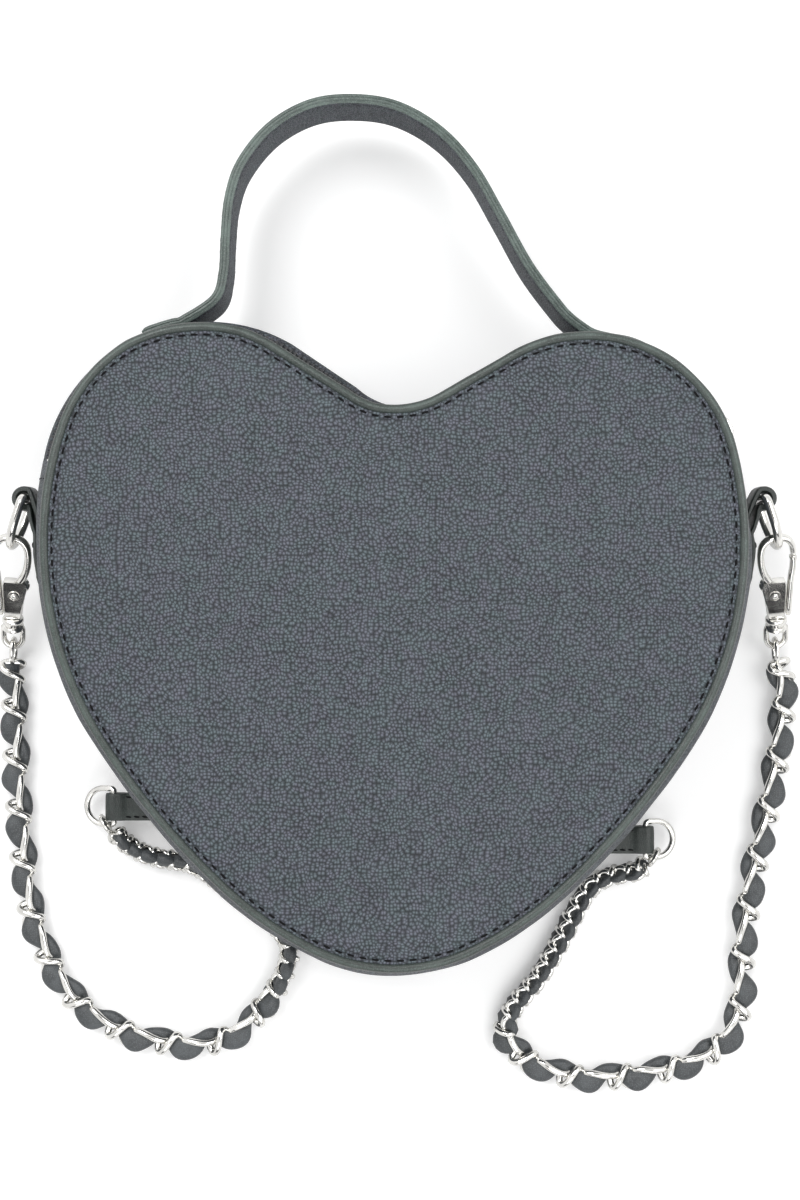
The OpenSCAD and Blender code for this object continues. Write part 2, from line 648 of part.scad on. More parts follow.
// The lower tabs stand out from the gusset near the back and hold the straps' lower rings
low_tab_t = 1.8;
foot_h = 9;
left_foot_at = 19;
right_foot_at = 21;
low_loop_in = low_wire / 2 + run_gap;
low_loop_out = low_loop_in + low_tab_t;
low_tilt = 20;
low_ring_w = low_tab_w + 3 * run_gap;
low_half = low_ring_w / 2 + low_wire / 2;
function foot_mid(i) = at(right_low[i], gusset_out + seam_gap + crown_low * bulge(low_tab_z));
module at_low_bar(i) { translate([foot_mid(i).x + low_tab_len, foot_mid(i).y, low_tab_z]) children(); }
module low_tab(i) {
    from_z = low_tab_z - low_loop_in - low_tab_t / 2;
    band(slice(right_low, i - 1, i + 1), steps_z(from_z, low_tab_z + foot_h, 2), gusset_out + seam_gap,
        gusset_out + seam_gap + low_tab_t);
    // The strip starts inside the foot, whose slope it follows
    half = low_tab_w / 2;
    start = at(right_low[i], gusset_out + seam_gap + low_tab_t / 2
        + crown_low * bulge(low_tab_z + low_tab_t)) - foot_mid(i);
    slope = -tan(right_low[i][2]);
    strip_end = low_tab_len - low_loop_in - low_tab_t / 4;
    at_low_bar(i) translate([-low_tab_len, 0, -low_tab_t]) linear_extrude(2 * low_tab_t)
        polygon([[start.x + (half - start.y) * slope, half], [start.x - (half + start.y) * slope, -half],
            [strip_end, -half], [strip_end, half]]);
    at_low_bar(i) translate([0, half, 0]) rotate([90, 0, 0]) linear_extrude(low_tab_w) difference() {
        circle(r = low_loop_out);
        circle(r = low_loop_in);
    }
}
module low_ring(i) {
    at_low_bar(i) rotate([0, 90 + low_tilt, 0]) rotate([-90, 0, 0])
        bar_ring(low_ring_w, low_ring_len, low_wire);
}

// The last link holds the ring's lower leg and the strap's end
low_link_at = 3.4;
low_link_turn = 60;
low_link_r = low_wire / 2 + link_wire / 2 + 4 * run_gap;
module low_link(i) {
    at_low_bar(i) translate([low_link_at * cos(low_tilt), -low_half, -low_link_at * sin(low_tilt)])
        rotate([90, 0, low_link_turn]) rotate_extrude() translate([low_link_r, 0])
            circle(d = link_wire, $fn = 24);
}
module right_lower_tab() { color(dark_leather) low_tab(right_foot_at); }
module left_lower_tab() { color(dark_leather) left() low_tab(left_foot_at); }
module right_lower_ring() { color(metal) low_ring(right_foot_at); }
module left_lower_ring() { color(metal) left() low_ring(left_foot_at); }
module right_bottom_link() { color(metal) low_link(right_foot_at); }
module left_bottom_link() { color(metal) left() low_link(left_foot_at); }

// The straps' routes over the floor, from the swivel's link to the lower ring's link
right_route = [[139.4, -11.5, 8.5], [141, -18, 7], [142.5, -25, 6], [142.5, -35, 5.5], [141, -49, 5.5],
    [138.5, -63, 5.5], [135.5, -77, 5.5], [132.5, -91, 5.5], [130, -105, 5.5], [128, -118, 5.5],
    [127.5, -130, 5.5], [127, -142, 5.5], [123, -153, 5.5], [113, -161, 5.5], [98, -166, 5.5],
    [80, -168.5, 5.5], [63, -167.5, 5.5], [48.5, -162, 5.5], [41, -153, 5.5], [42.5, -143, 5.5],
    [50, -133, 5.5], [56.5, -123.5, 5.5], [61.5, -114, 5.5], [67, -105.5, 5.5], [74, -99.8, 5.5],
    [81, -97.6, 5.5], [87, -95, 6], [91.6, -90.4, 7.5]];
left_route = [[-139.4, -11.5, 8.5], [-140, -18, 7], [-140, -25, 6], [-139.5, -35, 5.5], [-139, -49, 5.5],
    [-138.5, -63, 5.5], [-137.5, -77, 5.5], [-136, -92, 5.5], [-133.5, -107, 5.5], [-129, -121, 5.5],
    [-122, -134, 5.5], [-112.5, -144, 5.5], [-101, -151, 5.5], [-88, -155, 5.5], [-75, -156.5, 5.5],
    [-63, -154.5, 5.5], [-53, -148.5, 5.5], [-45, -138.5, 5.5], [-40, -129.5, 5.5], [-38.5, -121, 5.5],
    [-42, -114.5, 5.5], [-48, -109.5, 5.5], [-55.5, -103.8, 5.5], [-62.9, -97.9, 5.5], [-70, -92.5, 5.5],
    [-76.5, -89.5, 5.5], [-83.5, -88.6, 5.5], [-91, -86.8, 5.5], [-97.8, -83, 6], [-102.3, -78.4, 7.5]];
strap_sides = 8;
module tube(route, d) {
    n = len(route);
    function way(i) = let (v = knot(route, i + 1) - knot(route, i - 1)) v / norm(v);
    function across(i) = let (w = cross(way(i), [0, 0, 1])) w / norm(w);
    points = [for (i = [0 : n - 1]) for (k = [0 : strap_sides - 1])
        let (a = 360 * (k + 0.5) / strap_sides, u = across(i), v = cross(u, way(i)))
        route[i] + d / 2 / cos(180 / strap_sides) * (cos(a) * u + sin(a) * v)];
    function s(i, k) = i * strap_sides + k % strap_sides;
    walls = joined([for (i = [0 : n - 2]) for (k = [0 : strap_sides - 1])
        quad(s(i, k), s(i, k + 1), s(i + 1, k + 1), s(i + 1, k))]);
    ends = [[for (k = [strap_sides - 1 : -1 : 0]) s(0, k)], [for (k = [0 : strap_sides - 1]) s(n - 1, k)]];
    polyhedron(points, concat(walls, ends));
}
module right_strap() { color(dark_leather) tube(right_route, strap_d); }
module left_strap() { color(dark_leather) tube(left_route, strap_d); }

front_panel();
back_panel();
front_piping();
back_piping();
bottom_gusset();
top_gusset_front();
top_gusset_back();
front_board();
back_board();
lining_band();
lining_top_band();
lining_front();
lining_back();
slip_pocket();
zipper_tape_front();
zipper_tape_back();
zipper_teeth_front();
zipper_teeth_back();
zipper_stops();
zipper_slider();
zipper_pull();
handle_outer();
handle_core();
handle_lining();
left_handle_root();
right_handle_root();
left_side_tab();
right_side_tab();
left_ring();
right_ring();
left_hook();
right_hook();
left_gate();
right_gate();
left_gate_pin();
right_gate_pin();
left_gate_spring();
right_gate_spring();
left_swivel();
right_swivel();
left_top_link();
right_top_link();
left_strap();
right_strap();
left_bottom_link();
right_bottom_link();
left_lower_tab();
right_lower_tab();
left_lower_ring();
right_lower_ring();
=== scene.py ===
"""Heart-shaped top-handle bag, lying on its back, with a zipped gusset and two chain straps."""

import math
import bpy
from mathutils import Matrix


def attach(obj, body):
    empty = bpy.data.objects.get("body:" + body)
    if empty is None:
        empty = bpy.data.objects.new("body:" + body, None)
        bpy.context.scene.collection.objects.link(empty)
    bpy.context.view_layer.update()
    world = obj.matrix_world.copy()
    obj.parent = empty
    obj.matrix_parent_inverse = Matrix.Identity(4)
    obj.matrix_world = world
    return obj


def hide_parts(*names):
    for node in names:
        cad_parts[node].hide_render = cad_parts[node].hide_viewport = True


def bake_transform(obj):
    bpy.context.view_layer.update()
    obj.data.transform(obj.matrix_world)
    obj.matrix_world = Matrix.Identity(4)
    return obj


bl_info = {
    "name": "Heart Bag",
    "version": (1, 0, 0),
    "blender": (4, 5, 0),
    "location": "3D View > Sidebar > Heart Bag",
    "description": "Dresses the packed model of a heart-shaped bag with leather, thread, zip and chain",
    "category": "Add Mesh",
}

import bmesh
import bpy
import numpy as np
from bpy.props import FloatProperty, FloatVectorProperty, PointerProperty
from mathutils import Matrix, Vector, noise

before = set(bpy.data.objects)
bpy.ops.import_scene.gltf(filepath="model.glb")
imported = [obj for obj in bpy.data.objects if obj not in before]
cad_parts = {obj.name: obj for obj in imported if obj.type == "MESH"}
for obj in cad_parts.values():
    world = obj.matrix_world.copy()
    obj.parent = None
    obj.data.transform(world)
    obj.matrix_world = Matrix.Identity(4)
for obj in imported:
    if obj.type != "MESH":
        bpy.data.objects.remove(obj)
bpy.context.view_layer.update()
MM = 0.001

# Heights through the bag's depth and depths from the outline, in millimetres
DEPTH = 76.0
CROWN_LOW = 4.7
WALL_LOW, WALL_HIGH, WALL_THICK = 3.2, 72.8, 2.2
GUSSET_OUT, GUSSET_IN = -0.92, -3.32
ZIP_Z, ZIP_HALF = 58.0, 8.0
ZIP_LOW, ZIP_HIGH = ZIP_Z - ZIP_HALF, ZIP_Z + ZIP_HALF
CARRY_Z = 30.0
UP = np.array([0, 0, 1.0])

# Outline


def heading(angle):
    """A unit direction in the plan, by its angle in degrees."""
    return np.array([math.cos(math.radians(angle)), math.sin(math.radians(angle))])


class Outline:
    """The heart at even steps: place, angle of the normal, the gusset's crown and the swell of its rims."""

    CLEFT_Y, CLEFT_R, SLOPE, RUN = 72.0, 31.0, 30.0, 27.0
    LOBE_R, SIDE_R, FLANK_R, BELLY_R = 51.5, 125.0, 263.0, 121.0
    LOBE_END, ZIP_END, SIDE_END, FLANK_END, BELLY_END = 15.0, 12.0, -33.0, -47.0, -65.0
    # How many of the CAD's outline points lie before the end of each stretch, from the cleft to the tip
    CLEFT_AT, RUN_AT, LOBE_AT, ZIP_AT, SIDE_AT, FLANK_AT, BELLY_AT, TIP_AT = 5, 8, 28, 29, 44, 52, 58, 63
    CLEFT_CROWN, RIGHT_CROWN, LEFT_CROWN, SIDE_CROWN, FULL_AT = 3.0, 1.0, 8.0, 7.0, 33
    SWELL_AT, SWELL = (2, 11, 19, 27), (0, 3, 3, 0)

    def __init__(self, spacing=1.2):
        slope = math.radians(self.SLOPE)
        top = self.CLEFT_Y + self.CLEFT_R
        start = np.array([self.CLEFT_R * math.sin(slope) + self.RUN * math.cos(slope),
                          top - self.CLEFT_R * math.cos(slope) + self.RUN * math.sin(slope)])
        self.lobe = start - self.LOBE_R * heading(90 + self.SLOPE)
        side = self.lobe + (self.LOBE_R - self.SIDE_R) * heading(self.LOBE_END)
        flank = side + (self.SIDE_R - self.FLANK_R) * heading(self.SIDE_END)
        belly = flank + (self.FLANK_R - self.BELLY_R) * heading(self.FLANK_END)
        tip_start = belly + self.BELLY_R * heading(self.BELLY_END)
        tip_r = tip_start[0] / math.cos(math.radians(self.BELLY_END))
        tip = np.array([0.0, tip_start[1] - tip_r * math.sin(math.radians(self.BELLY_END))])
        rows = []
        for f in np.linspace(0, 1, 40):
            s = self.SLOPE * f
            p = np.array([0, top]) - self.CLEFT_R * heading(90 + s)
            rows.append((abs(p[0]), p[1], 90 + s, self.CLEFT_AT * f))
        first = np.array(rows[-1][:2])
        for f in np.linspace(0, 1, 40)[1:]:
            p = first + (start - first) * f
            rows.append((p[0], p[1], 90 + self.SLOPE, self.CLEFT_AT + (self.RUN_AT - self.CLEFT_AT) * f))
        for centre, radius, a, b, i, j in (
                (self.lobe, self.LOBE_R, 90 + self.SLOPE, self.LOBE_END, self.RUN_AT, self.LOBE_AT),
                (side, self.SIDE_R, self.LOBE_END, self.ZIP_END, self.LOBE_AT, self.ZIP_AT),
                (side, self.SIDE_R, self.ZIP_END, self.SIDE_END, self.ZIP_AT, self.SIDE_AT),
                (flank, self.FLANK_R, self.SIDE_END, self.FLANK_END, self.SIDE_AT, self.FLANK_AT),
                (belly, self.BELLY_R, self.FLANK_END, self.BELLY_END, self.FLANK_AT, self.BELLY_AT),
                (tip, tip_r, self.BELLY_END, -90, self.BELLY_AT, self.TIP_AT)):
            for f in np.linspace(0, 1, 120)[1:]:
                p = centre + radius * heading(a + (b - a) * f)
                rows.append((p[0], p[1], a + (b - a) * f, i + (j - i) * f))
        half = np.array(rows)
        steps = half[:, 3]
        crown = [np.interp(steps, [0, self.RUN_AT, self.LOBE_AT, self.FULL_AT],
                           [self.CLEFT_CROWN, lobe, lobe, self.SIDE_CROWN])
                 for lobe in (self.RIGHT_CROWN, self.LEFT_CROWN)]
        right = np.column_stack([half, crown[0], np.zeros(len(half))])
        left = np.column_stack([-half[:, 0], half[:, 1], 180 - half[:, 2], steps, crown[1],
                                np.interp(steps, self.SWELL_AT, self.SWELL)])[::-1]
        # the angle runs on below the tip instead of jumping by a full turn
        left[:, 2] -= 360
        loop = np.vstack([right, left[1:]])
        length = np.concatenate([[0], np.cumsum(np.hypot(*np.diff(loop[:, :2], axis=0).T))])
        self.total = length[-1]
        count = int(round(self.total / spacing))
        self.s = np.linspace(0, self.total, count, endpoint=False)
        self.x, self.y, angle, _, self.crown, self.swell = (np.interp(self.s, length, c) for c in loop.T)
        self.a = np.radians(angle)
        ends = length[np.abs(loop[:, 3] - self.ZIP_AT) < 1e-6]
        self.zip_right, self.zip_left = min(ends), max(ends)

    def bulge(self, z):
        """The share of the crown that the wall has at height z."""
        mid = DEPTH / 2
        return 1 - ((np.asarray(z) - mid) / (mid - CROWN_LOW)) ** 2

    def normal(self, i):
        """Directions straight out of the rim at the stations i."""
        a = self.a[i]
        return np.stack([np.cos(a), np.sin(a), np.zeros_like(a)], -1)

    def at(self, i, d, share=0.0):
        """Places at the stations i, d millimetres out from the rim, or from the crown with a share of 1."""
        d = d + self.swell[i] * (1 - share) + self.crown[i] * share
        return np.stack([self.x[i] + d * np.cos(self.a[i]), self.y[i] + d * np.sin(self.a[i])], -1)

    def wall(self, i, z, d):
        """Places on the gusset at height z, d millimetres out from the outline."""
        xy = self.at(i, d, self.bulge(z))
        return np.concatenate([xy, np.broadcast_to(np.asarray(z, float)[..., None], xy[..., :1].shape)], -1)

    def low_run(self):
        """The stations below the zip's ends."""
        return np.where((self.s >= self.zip_right) & (self.s <= self.zip_left))[0]

    def top_run(self):
        """The stations along the zip, from its left end to its right one."""
        return np.concatenate([np.where(self.s >= self.zip_left)[0], np.where(self.s <= self.zip_right)[0]])


HEART = Outline()

# Forms


def around(n):
    """Even angles round a full turn."""
    return np.linspace(0, 2 * math.pi, n, endpoint=False)


def bent_power(value, power):
    """A power that keeps its value's sign."""
    return np.sign(value) * np.abs(value) ** power


def ring(r, n, squash=1.0, power=2.0):
    """A rounded section: a circle, an oval or, with a higher power, a soft rectangle."""
    t = around(n)
    return np.column_stack([r * bent_power(np.cos(t), 2 / power),
                            r * squash * bent_power(np.sin(t), 2 / power)])


def travelled(path):
    """The distance gone along a path at each of its places."""
    return np.concatenate([[0], np.cumsum(np.linalg.norm(np.diff(path, axis=0), axis=1))])


def moved(places, matrix):
    """Places that are stated in a matrix's own frame."""
    m = np.array(matrix)
    return places @ m[:3, :3].T + m[:3, 3]


def spin(degrees, axis):
    return Matrix.Rotation(math.radians(degrees), 4, axis)


def smooth_line(points, step):
    """A curve through the points, resampled at even steps."""
    p = np.asarray(points, float)
    q = np.vstack([2 * p[0] - p[1], p, 2 * p[-1] - p[-2]])
    t = np.linspace(0, 1, 16, endpoint=False)[:, None]
    rows = []
    for i in range(len(p) - 1):
        a, b, c, d = q[i], q[i + 1], q[i + 2], q[i + 3]
        rows.append((2 * b + (c - a) * t + (2 * a - 5 * b + 4 * c - d) * t ** 2
                     + (3 * b - a - 3 * c + d) * t ** 3) / 2)
    line = np.vstack(rows + [p[-1:]])
    s = travelled(line)
    n = max(2, int(round(s[-1] / step)) + 1)
    even = np.linspace(0, s[-1], n)
    return np.column_stack([np.interp(even, s, line[:, k]) for k in range(line.shape[1])])


def ways(path, loop=False):
    """Unit directions along a path."""
    if loop:
        v = np.roll(path, -1, 0) - np.roll(path, 1, 0)
    else:
        v = np.gradient(path, axis=0)
    return v / np.linalg.norm(v, axis=1)[:, None]


def swept(path, section, up=(0, 0, 1), loop=False):
    """Rows of places: a section, or one section per place, carried along a path."""
    path = np.asarray(path, float)
    t = ways(path, loop)
    up = np.broadcast_to(np.asarray(up, float), path.shape)
    side = np.cross(t, up)
    side /= np.linalg.norm(side, axis=1)[:, None]
    top = np.cross(side, t)
    section = np.asarray(section, float)
    if section.ndim == 2:
        section = np.broadcast_to(section, (len(path),) + section.shape)
    return path[:, None] + section[..., :1] * side[:, None] + section[..., 1:] * top[:, None]


def ripple(places, size, amount, seed=0.0):
    """Small moves of leather that is never quite even: one number for each place."""
    flat = places.reshape(-1, 3)
    values = [noise.noise(Vector((p[0] / size, p[1] / size, p[2] / size + seed))) for p in flat]
    return amount * np.array(values).reshape(places.shape[:-1])


class Form:
    """A mesh in the making. Places are in millimetres, and each face keeps the number of its finish."""

    def __init__(self, matrix=None):
        self.places, self.faces, self.kinds, self.count = [], [], [], 0
        self.matrix = matrix

    def add(self, places, faces, kind=0):
        places = np.asarray(places, float).reshape(-1, 3)
        if self.matrix is not None:
            places = moved(places, self.matrix)
        self.places.append(places)
        self.faces += [tuple(int(v) + self.count for v in f) for f in faces]
        self.kinds += kind if isinstance(kind, list) else [kind] * len(faces)
        self.count += len(places)

    def skin(self, rows, loop=False, kind=0, columns=None):
        """Joins closed rows of places into a skin, with ends unless it is a loop.

        columns gives the finish of each strip of faces.
        """
        rows = np.asarray(rows, float)
        n, m = rows.shape[:2]
        i, j = np.meshgrid(np.arange(n if loop else n - 1), np.arange(m), indexing="ij")
        k, l = (i + 1) % n, (j + 1) % m
        faces = np.stack([i * m + j, k * m + j, k * m + l, i * m + l], -1).reshape(-1, 4).tolist()
        kinds = [kind] * len(faces) if columns is None else [columns[c] for c in j.reshape(-1)]
        if not loop:
            faces += [list(range(m))[::-1], [(n - 1) * m + c for c in range(m)]]
            kinds += [kind if columns is None else columns[0]] * 2
        self.add(rows, faces, kinds)

    def turned(self, profile, n, matrix):
        """A turned piece: pairs of radius and height, turned about the matrix's Z axis."""
        rows = np.array([[(r * math.cos(a), r * math.sin(a), h) for a in around(n)] for r, h in profile])
        self.skin(moved(rows, matrix))

    def made(self, name, finishes, body, replaces=(), slot=None, crease=40):
        """Turns the form into an object that rides on a body and stands for CAD nodes.

        Edges sharper than the crease, in degrees, stay sharp. A piece with no body is left unattached.
        """
        mesh = bpy.data.meshes.new(name)
        mesh.from_pydata((np.vstack(self.places) * MM).tolist(), [], self.faces)
        mesh.polygons.foreach_set("material_index", self.kinds)
        mesh.polygons.foreach_set("use_smooth", [True] * len(self.faces))
        for finish in finishes:
            mesh.materials.append(finish)
        soft = bmesh.new()
        soft.from_mesh(mesh)
        bmesh.ops.recalc_face_normals(soft, faces=soft.faces)
        for edge in soft.edges:
            if len(edge.link_faces) == 2 and edge.calc_face_angle(0) > math.radians(crease):
                edge.smooth = False
        soft.to_mesh(mesh)
        soft.free()
        made = bpy.data.objects.new(name, mesh)
        bpy.context.scene.collection.objects.link(made)
        if body:
            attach(made, body)
        if replaces:
            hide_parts(*replaces)
        return made

    def plated(self, name, body, replaces, crease=40):
        """The form as a piece of polished hardware."""
        return self.made(name, [finish("metal")], body, replaces, "nickel", crease)

    def sewn(self, name, body="bag"):
        """The form as a row of stitches."""
        return self.made(name, [finish("thread")], body, slot="leather_trim")


STITCH_TAPER = (0.55, 0.85, 1, 1, 1, 0.85, 0.55)
STITCH_RISE, STITCH_SINK = 0.42, 0.32


def stitches(form, path, out, length, pitch, thick, slant=0.12):
    """A row of thread stitches along a path; out holds the direction that faces the eye.

    Each one rises in its middle and sinks at its ends, by shares of the thread's thickness.
    """
    s = travelled(path)
    n = int(s[-1] / pitch)

    def pick(values, at):
        return np.array([np.interp(at, s, values[:, k]) for k in range(3)])

    for m in (np.arange(n) + 0.5) * s[-1] / n:
        p = pick(path, m)
        t = pick(path, m + 0.4) - pick(path, m - 0.4)
        t /= np.linalg.norm(t)
        o = pick(out, m)
        o = o - t * o.dot(t)
        o /= np.linalg.norm(o)
        lean = t + np.cross(t, o) * slant
        line = np.array([p + lean * (u * length / 2)
                         + o * (thick * (STITCH_RISE * (1 - u ** 4) - STITCH_SINK))
                         for u in np.linspace(-1, 1, len(STITCH_TAPER))])
        form.skin(swept(line, np.array([ring(thick / 2 * w, 6) for w in STITCH_TAPER]), up=o))


def sew(form, path, out, length, share, slant=0.12):
    """Stitches at the bag's own pitch, in its own thread times a share."""
    stitches(form, path, out, length, sizes().stitch / MM, sizes().thread / MM * share, slant)


# Finishes


class Value:
    """A number in a finish's nodes, which can be added, multiplied and so on."""

    def __init__(self, finish, socket):
        self.finish, self.socket = finish, socket

    def _with(self, operation, other, swap=False):
        pair = (other, self) if swap else (self, other)
        return self.finish.number(operation, *pair)

    def __add__(self, other):
        return self._with("ADD", other)

    def __radd__(self, other):
        return self._with("ADD", other, True)

    def __sub__(self, other):
        return self._with("SUBTRACT", other)

    def __rsub__(self, other):
        return self._with("SUBTRACT", other, True)

    def __mul__(self, other):
        return self._with("MULTIPLY", other)

    def __rmul__(self, other):
        return self._with("MULTIPLY", other, True)

    def __pow__(self, other):
        return self._with("POWER", other)

    def most(self, other):
        return self._with("MAXIMUM", other)


class Nodes:
    """A node tree in the making, of a world or a material."""

    def __init__(self, owner):
        owner.use_nodes = True
        self.tree = owner.node_tree

    def node(self, kind, settings=None, inputs=None):
        made = self.tree.nodes.new(kind)
        for key, value in (settings or {}).items():
            setattr(made, key, value)
        for key, value in (inputs or {}).items():
            self.feed(made.inputs[key], value)
        return made

    def feed(self, socket, value):
        """Links a socket to a value, or sets it to a constant. A colour may leave out its alpha."""
        if isinstance(value, Value):
            value = value.socket
        if isinstance(value, bpy.types.NodeSocket):
            self.tree.links.new(value, socket)
        elif socket.type == "RGBA" and len(value) == 3:
            socket.default_value = (*value, 1)
        else:
            socket.default_value = value

    def number(self, operation, a, b):
        return Value(self, self.node("ShaderNodeMath", {"operation": operation}, {0: a, 1: b}).outputs[0])


class Finish(Nodes):
    """A material in the making, with one shader and one method for each kind of pattern."""

    def __init__(self, name):
        self.material = bpy.data.materials.new(name)
        super().__init__(self.material)
        self.shader = self.tree.nodes["Principled BSDF"]
        self.place = self.node("ShaderNodeTexCoord").outputs["Object"]

    def noise(self, scale, detail=3.0, rough=0.55, place=None):
        made = self.node("ShaderNodeTexNoise", None, {
            "Vector": place or self.place, "Scale": scale, "Detail": detail, "Roughness": rough})
        return Value(self, made.outputs["Fac"])

    def cells(self, scale, feature, place, output="Distance", flat=False):
        """Cells of a scattered pattern; flat ones keep an even size on skins that face up."""
        made = self.node("ShaderNodeTexVoronoi",
                         {"feature": feature, "voronoi_dimensions": "2D" if flat else "3D"},
                         {"Vector": place, "Scale": scale, "Randomness": 0.75})
        return Value(self, made.outputs[output])

    def waves(self, scale, direction):
        made = self.node("ShaderNodeTexWave", {"bands_direction": direction},
                         {"Vector": self.place, "Scale": scale})
        return Value(self, made.outputs["Fac"])

    def ranged(self, value, low, high, to_low=0.0, to_high=1.0):
        made = self.node("ShaderNodeMapRange", {"interpolation_type": "SMOOTHSTEP"}, {
            "Value": value, "From Min": low, "From Max": high, "To Min": to_low, "To Max": to_high})
        return Value(self, made.outputs["Result"])

    def colours(self, share, a, b):
        made = self.node("ShaderNodeMix", {"data_type": "RGBA"}, {"Factor": share, 6: a, 7: b})
        return made.outputs[2]

    def vector(self, operation, inputs):
        return self.node("ShaderNodeVectorMath", {"operation": operation}, inputs).outputs[0]

    def times(self, a, b):
        return self.vector("MULTIPLY", {0: a, 1: b})

    def warped(self, scale, amount):
        """The place, moved a little by noise, so that cells are not too regular."""
        swirl = self.node("ShaderNodeTexNoise", None, {"Vector": self.place, "Scale": scale, "Detail": 2.0})
        lean = self.vector("SUBTRACT", {0: swirl.outputs["Color"], 1: (0.5, 0.5, 0.5)})
        return self.vector("ADD", {0: self.place, 1: self.vector("SCALE", {0: lean, "Scale": amount})})

    def done(self, colour, rough, height=None, depth=0.0002, **constants):
        feeds = {"Base Color": colour, "Roughness": rough}
        if height is not None:
            bump = self.node("ShaderNodeBump", None, {"Height": height, "Distance": depth, "Strength": 1.0})
            feeds["Normal"] = bump.outputs[0]
        for key, value in feeds.items():
            self.feed(self.shader.inputs[key], value)
        for key, value in constants.items():
            self.shader.inputs[key.replace("_", " ")].default_value = value
        return self.material


def shade(colour, k):
    """A colour made darker or lighter."""
    return tuple(min(1.0, c * k) for c in colour[:3])


def pebbled_leather(name, colour, grain, depth=0.00016, rough=0.5, flat=False):
    """Leather with small pebbles, each with a painted highlight on its dome and painted shade in the crease
    round it.
    """
    f = Finish(name)
    place = f.warped(0.09 / grain, grain * 3)
    near = f.cells(1 / grain, "F1", place, flat=flat)
    dome = (1 - near * 1.3).most(0.0) ** 2.0
    crease = f.ranged(f.cells(1 / grain, "DISTANCE_TO_EDGE", place, flat=flat), 0.0, 0.16)
    tone = f.cells(1 / grain, "F1", place, "Color", flat)
    hue = f.noise(0.3 / grain, 2)
    wear = f.noise(150, 4)
    # painted highlight on each pebble's dome and painted shade in the creases between pebbles, over the
    # pebbles' random tone and the wear
    light = dome * (tone * 0.9 + 0.65) + crease * 0.12 + (wear - 0.5) * 0.3
    # the dark end of this mix is painted shade, the bright end painted highlight
    body = f.colours(light, shade(colour, 0.5), shade(colour, 3.3))
    tint = f.colours(f.ranged(hue, 0.3, 0.7), (0.95, 1.04, 0.99), (1.05, 0.96, 1.03))
    height = dome * 0.75 + crease * 0.25 + f.noise(2600, 2) * 0.1
    return f.done(f.times(body, tint), f.ranged(crease + (wear - 0.5) * 0.6, 0.0, 1.1, rough + 0.2, rough),
                  height, depth, Specular_IOR_Level=0.28)


def smooth_leather(name, colour, rough=0.4, depth=0.00006):
    """Edge-painted or folded leather: a fine grain, a soft sheen and rubbed spots."""
    f = Finish(name)
    place = f.warped(500, 0.0006)
    grain = f.ranged(f.cells(1500, "DISTANCE_TO_EDGE", place), 0.0, 0.3)
    rub = f.ranged(f.noise(90, 5, 0.65), 0.42, 0.72)
    fine = f.noise(900, 3)
    tone = f.colours(f.ranged(grain * 0.6 + fine * 0.5, 0.2, 1.0), shade(colour, 0.6), shade(colour, 1.3))
    mixed = f.colours(rub * 0.45, tone, shade(colour, 1.9))
    return f.done(mixed, f.ranged(rub + (fine - 0.5) * 0.5, 0.0, 1.0, rough, rough + 0.16),
                  grain * 0.7 + f.noise(260, 3) * 1.2, depth, Specular_IOR_Level=0.5)


def thread(name, colour):
    """Waxed thread with its twist."""
    f = Finish(name)
    twist = f.waves(1500, "DIAGONAL")
    fuzz = f.noise(5000, 2)
    tone = f.colours(twist * 0.7 + fuzz * 0.3, shade(colour, 0.5), shade(colour, 1.6))
    return f.done(tone, f.ranged(fuzz, 0.2, 0.8, 0.6, 0.8), twist, 0.0001, Specular_IOR_Level=0.12)


def woven(name, colour, scale=900.0, rough=0.8):
    """A plain weave, for lining cloth and zip tape."""
    f = Finish(name)
    warp = f.waves(scale, "X") * f.waves(scale, "Y") + f.waves(scale, "Z") * 0.5
    fuzz = f.noise(3000, 3)
    tone = f.colours(f.ranged(warp + fuzz * 0.4, 0.1, 1.5), shade(colour, 0.55), shade(colour, 1.6))
    return f.done(tone, f.ranged(fuzz, 0.2, 0.8, rough - 0.08, rough + 0.1), warp, 0.00008)


def nickel(name, colour=(0.80, 0.79, 0.76), rough=0.12):
    """Polished plating with faint smears and hairline scratches."""
    f = Finish(name)
    smear = f.noise(160, 4)
    stretched = f.node("ShaderNodeMapping", {"vector_type": "POINT"},
                       {"Vector": f.place, "Scale": (60, 900, 900)}).outputs[0]
    hair = f.noise(6, 3, 0.6, stretched)
    tone = f.colours(f.ranged(smear, 0.3, 0.75), shade(colour, 0.86), shade(colour, 1.08))
    return f.done(tone, f.ranged(smear * 0.7 + hair * 0.3, 0.25, 0.8, rough * 0.6, rough * 1.9),
                  hair * 0.4 + f.noise(420, 2) * 0.6, 0.00002, Metallic=1.0)


def resin(name, colour, rough=0.4):
    """Moulded zip teeth."""
    f = Finish(name)
    grit = f.noise(1800, 3)
    tone = f.colours(grit, shade(colour, 0.7), shade(colour, 1.4))
    return f.done(tone, f.ranged(grit, 0.2, 0.8, rough - 0.08, rough + 0.12), grit, 0.00003)


def fibreboard(name, colour=(0.36, 0.27, 0.17)):
    """Pressed board with short fibres."""
    f = Finish(name)
    fibre = f.noise(700, 5, 0.7)
    tone = f.colours(f.ranged(fibre, 0.3, 0.7), shade(colour, 0.75), shade(colour, 1.2))
    return f.done(tone, f.ranged(fibre, 0.2, 0.8, 0.75, 0.9), fibre, 0.0001)


FINISHES = {}


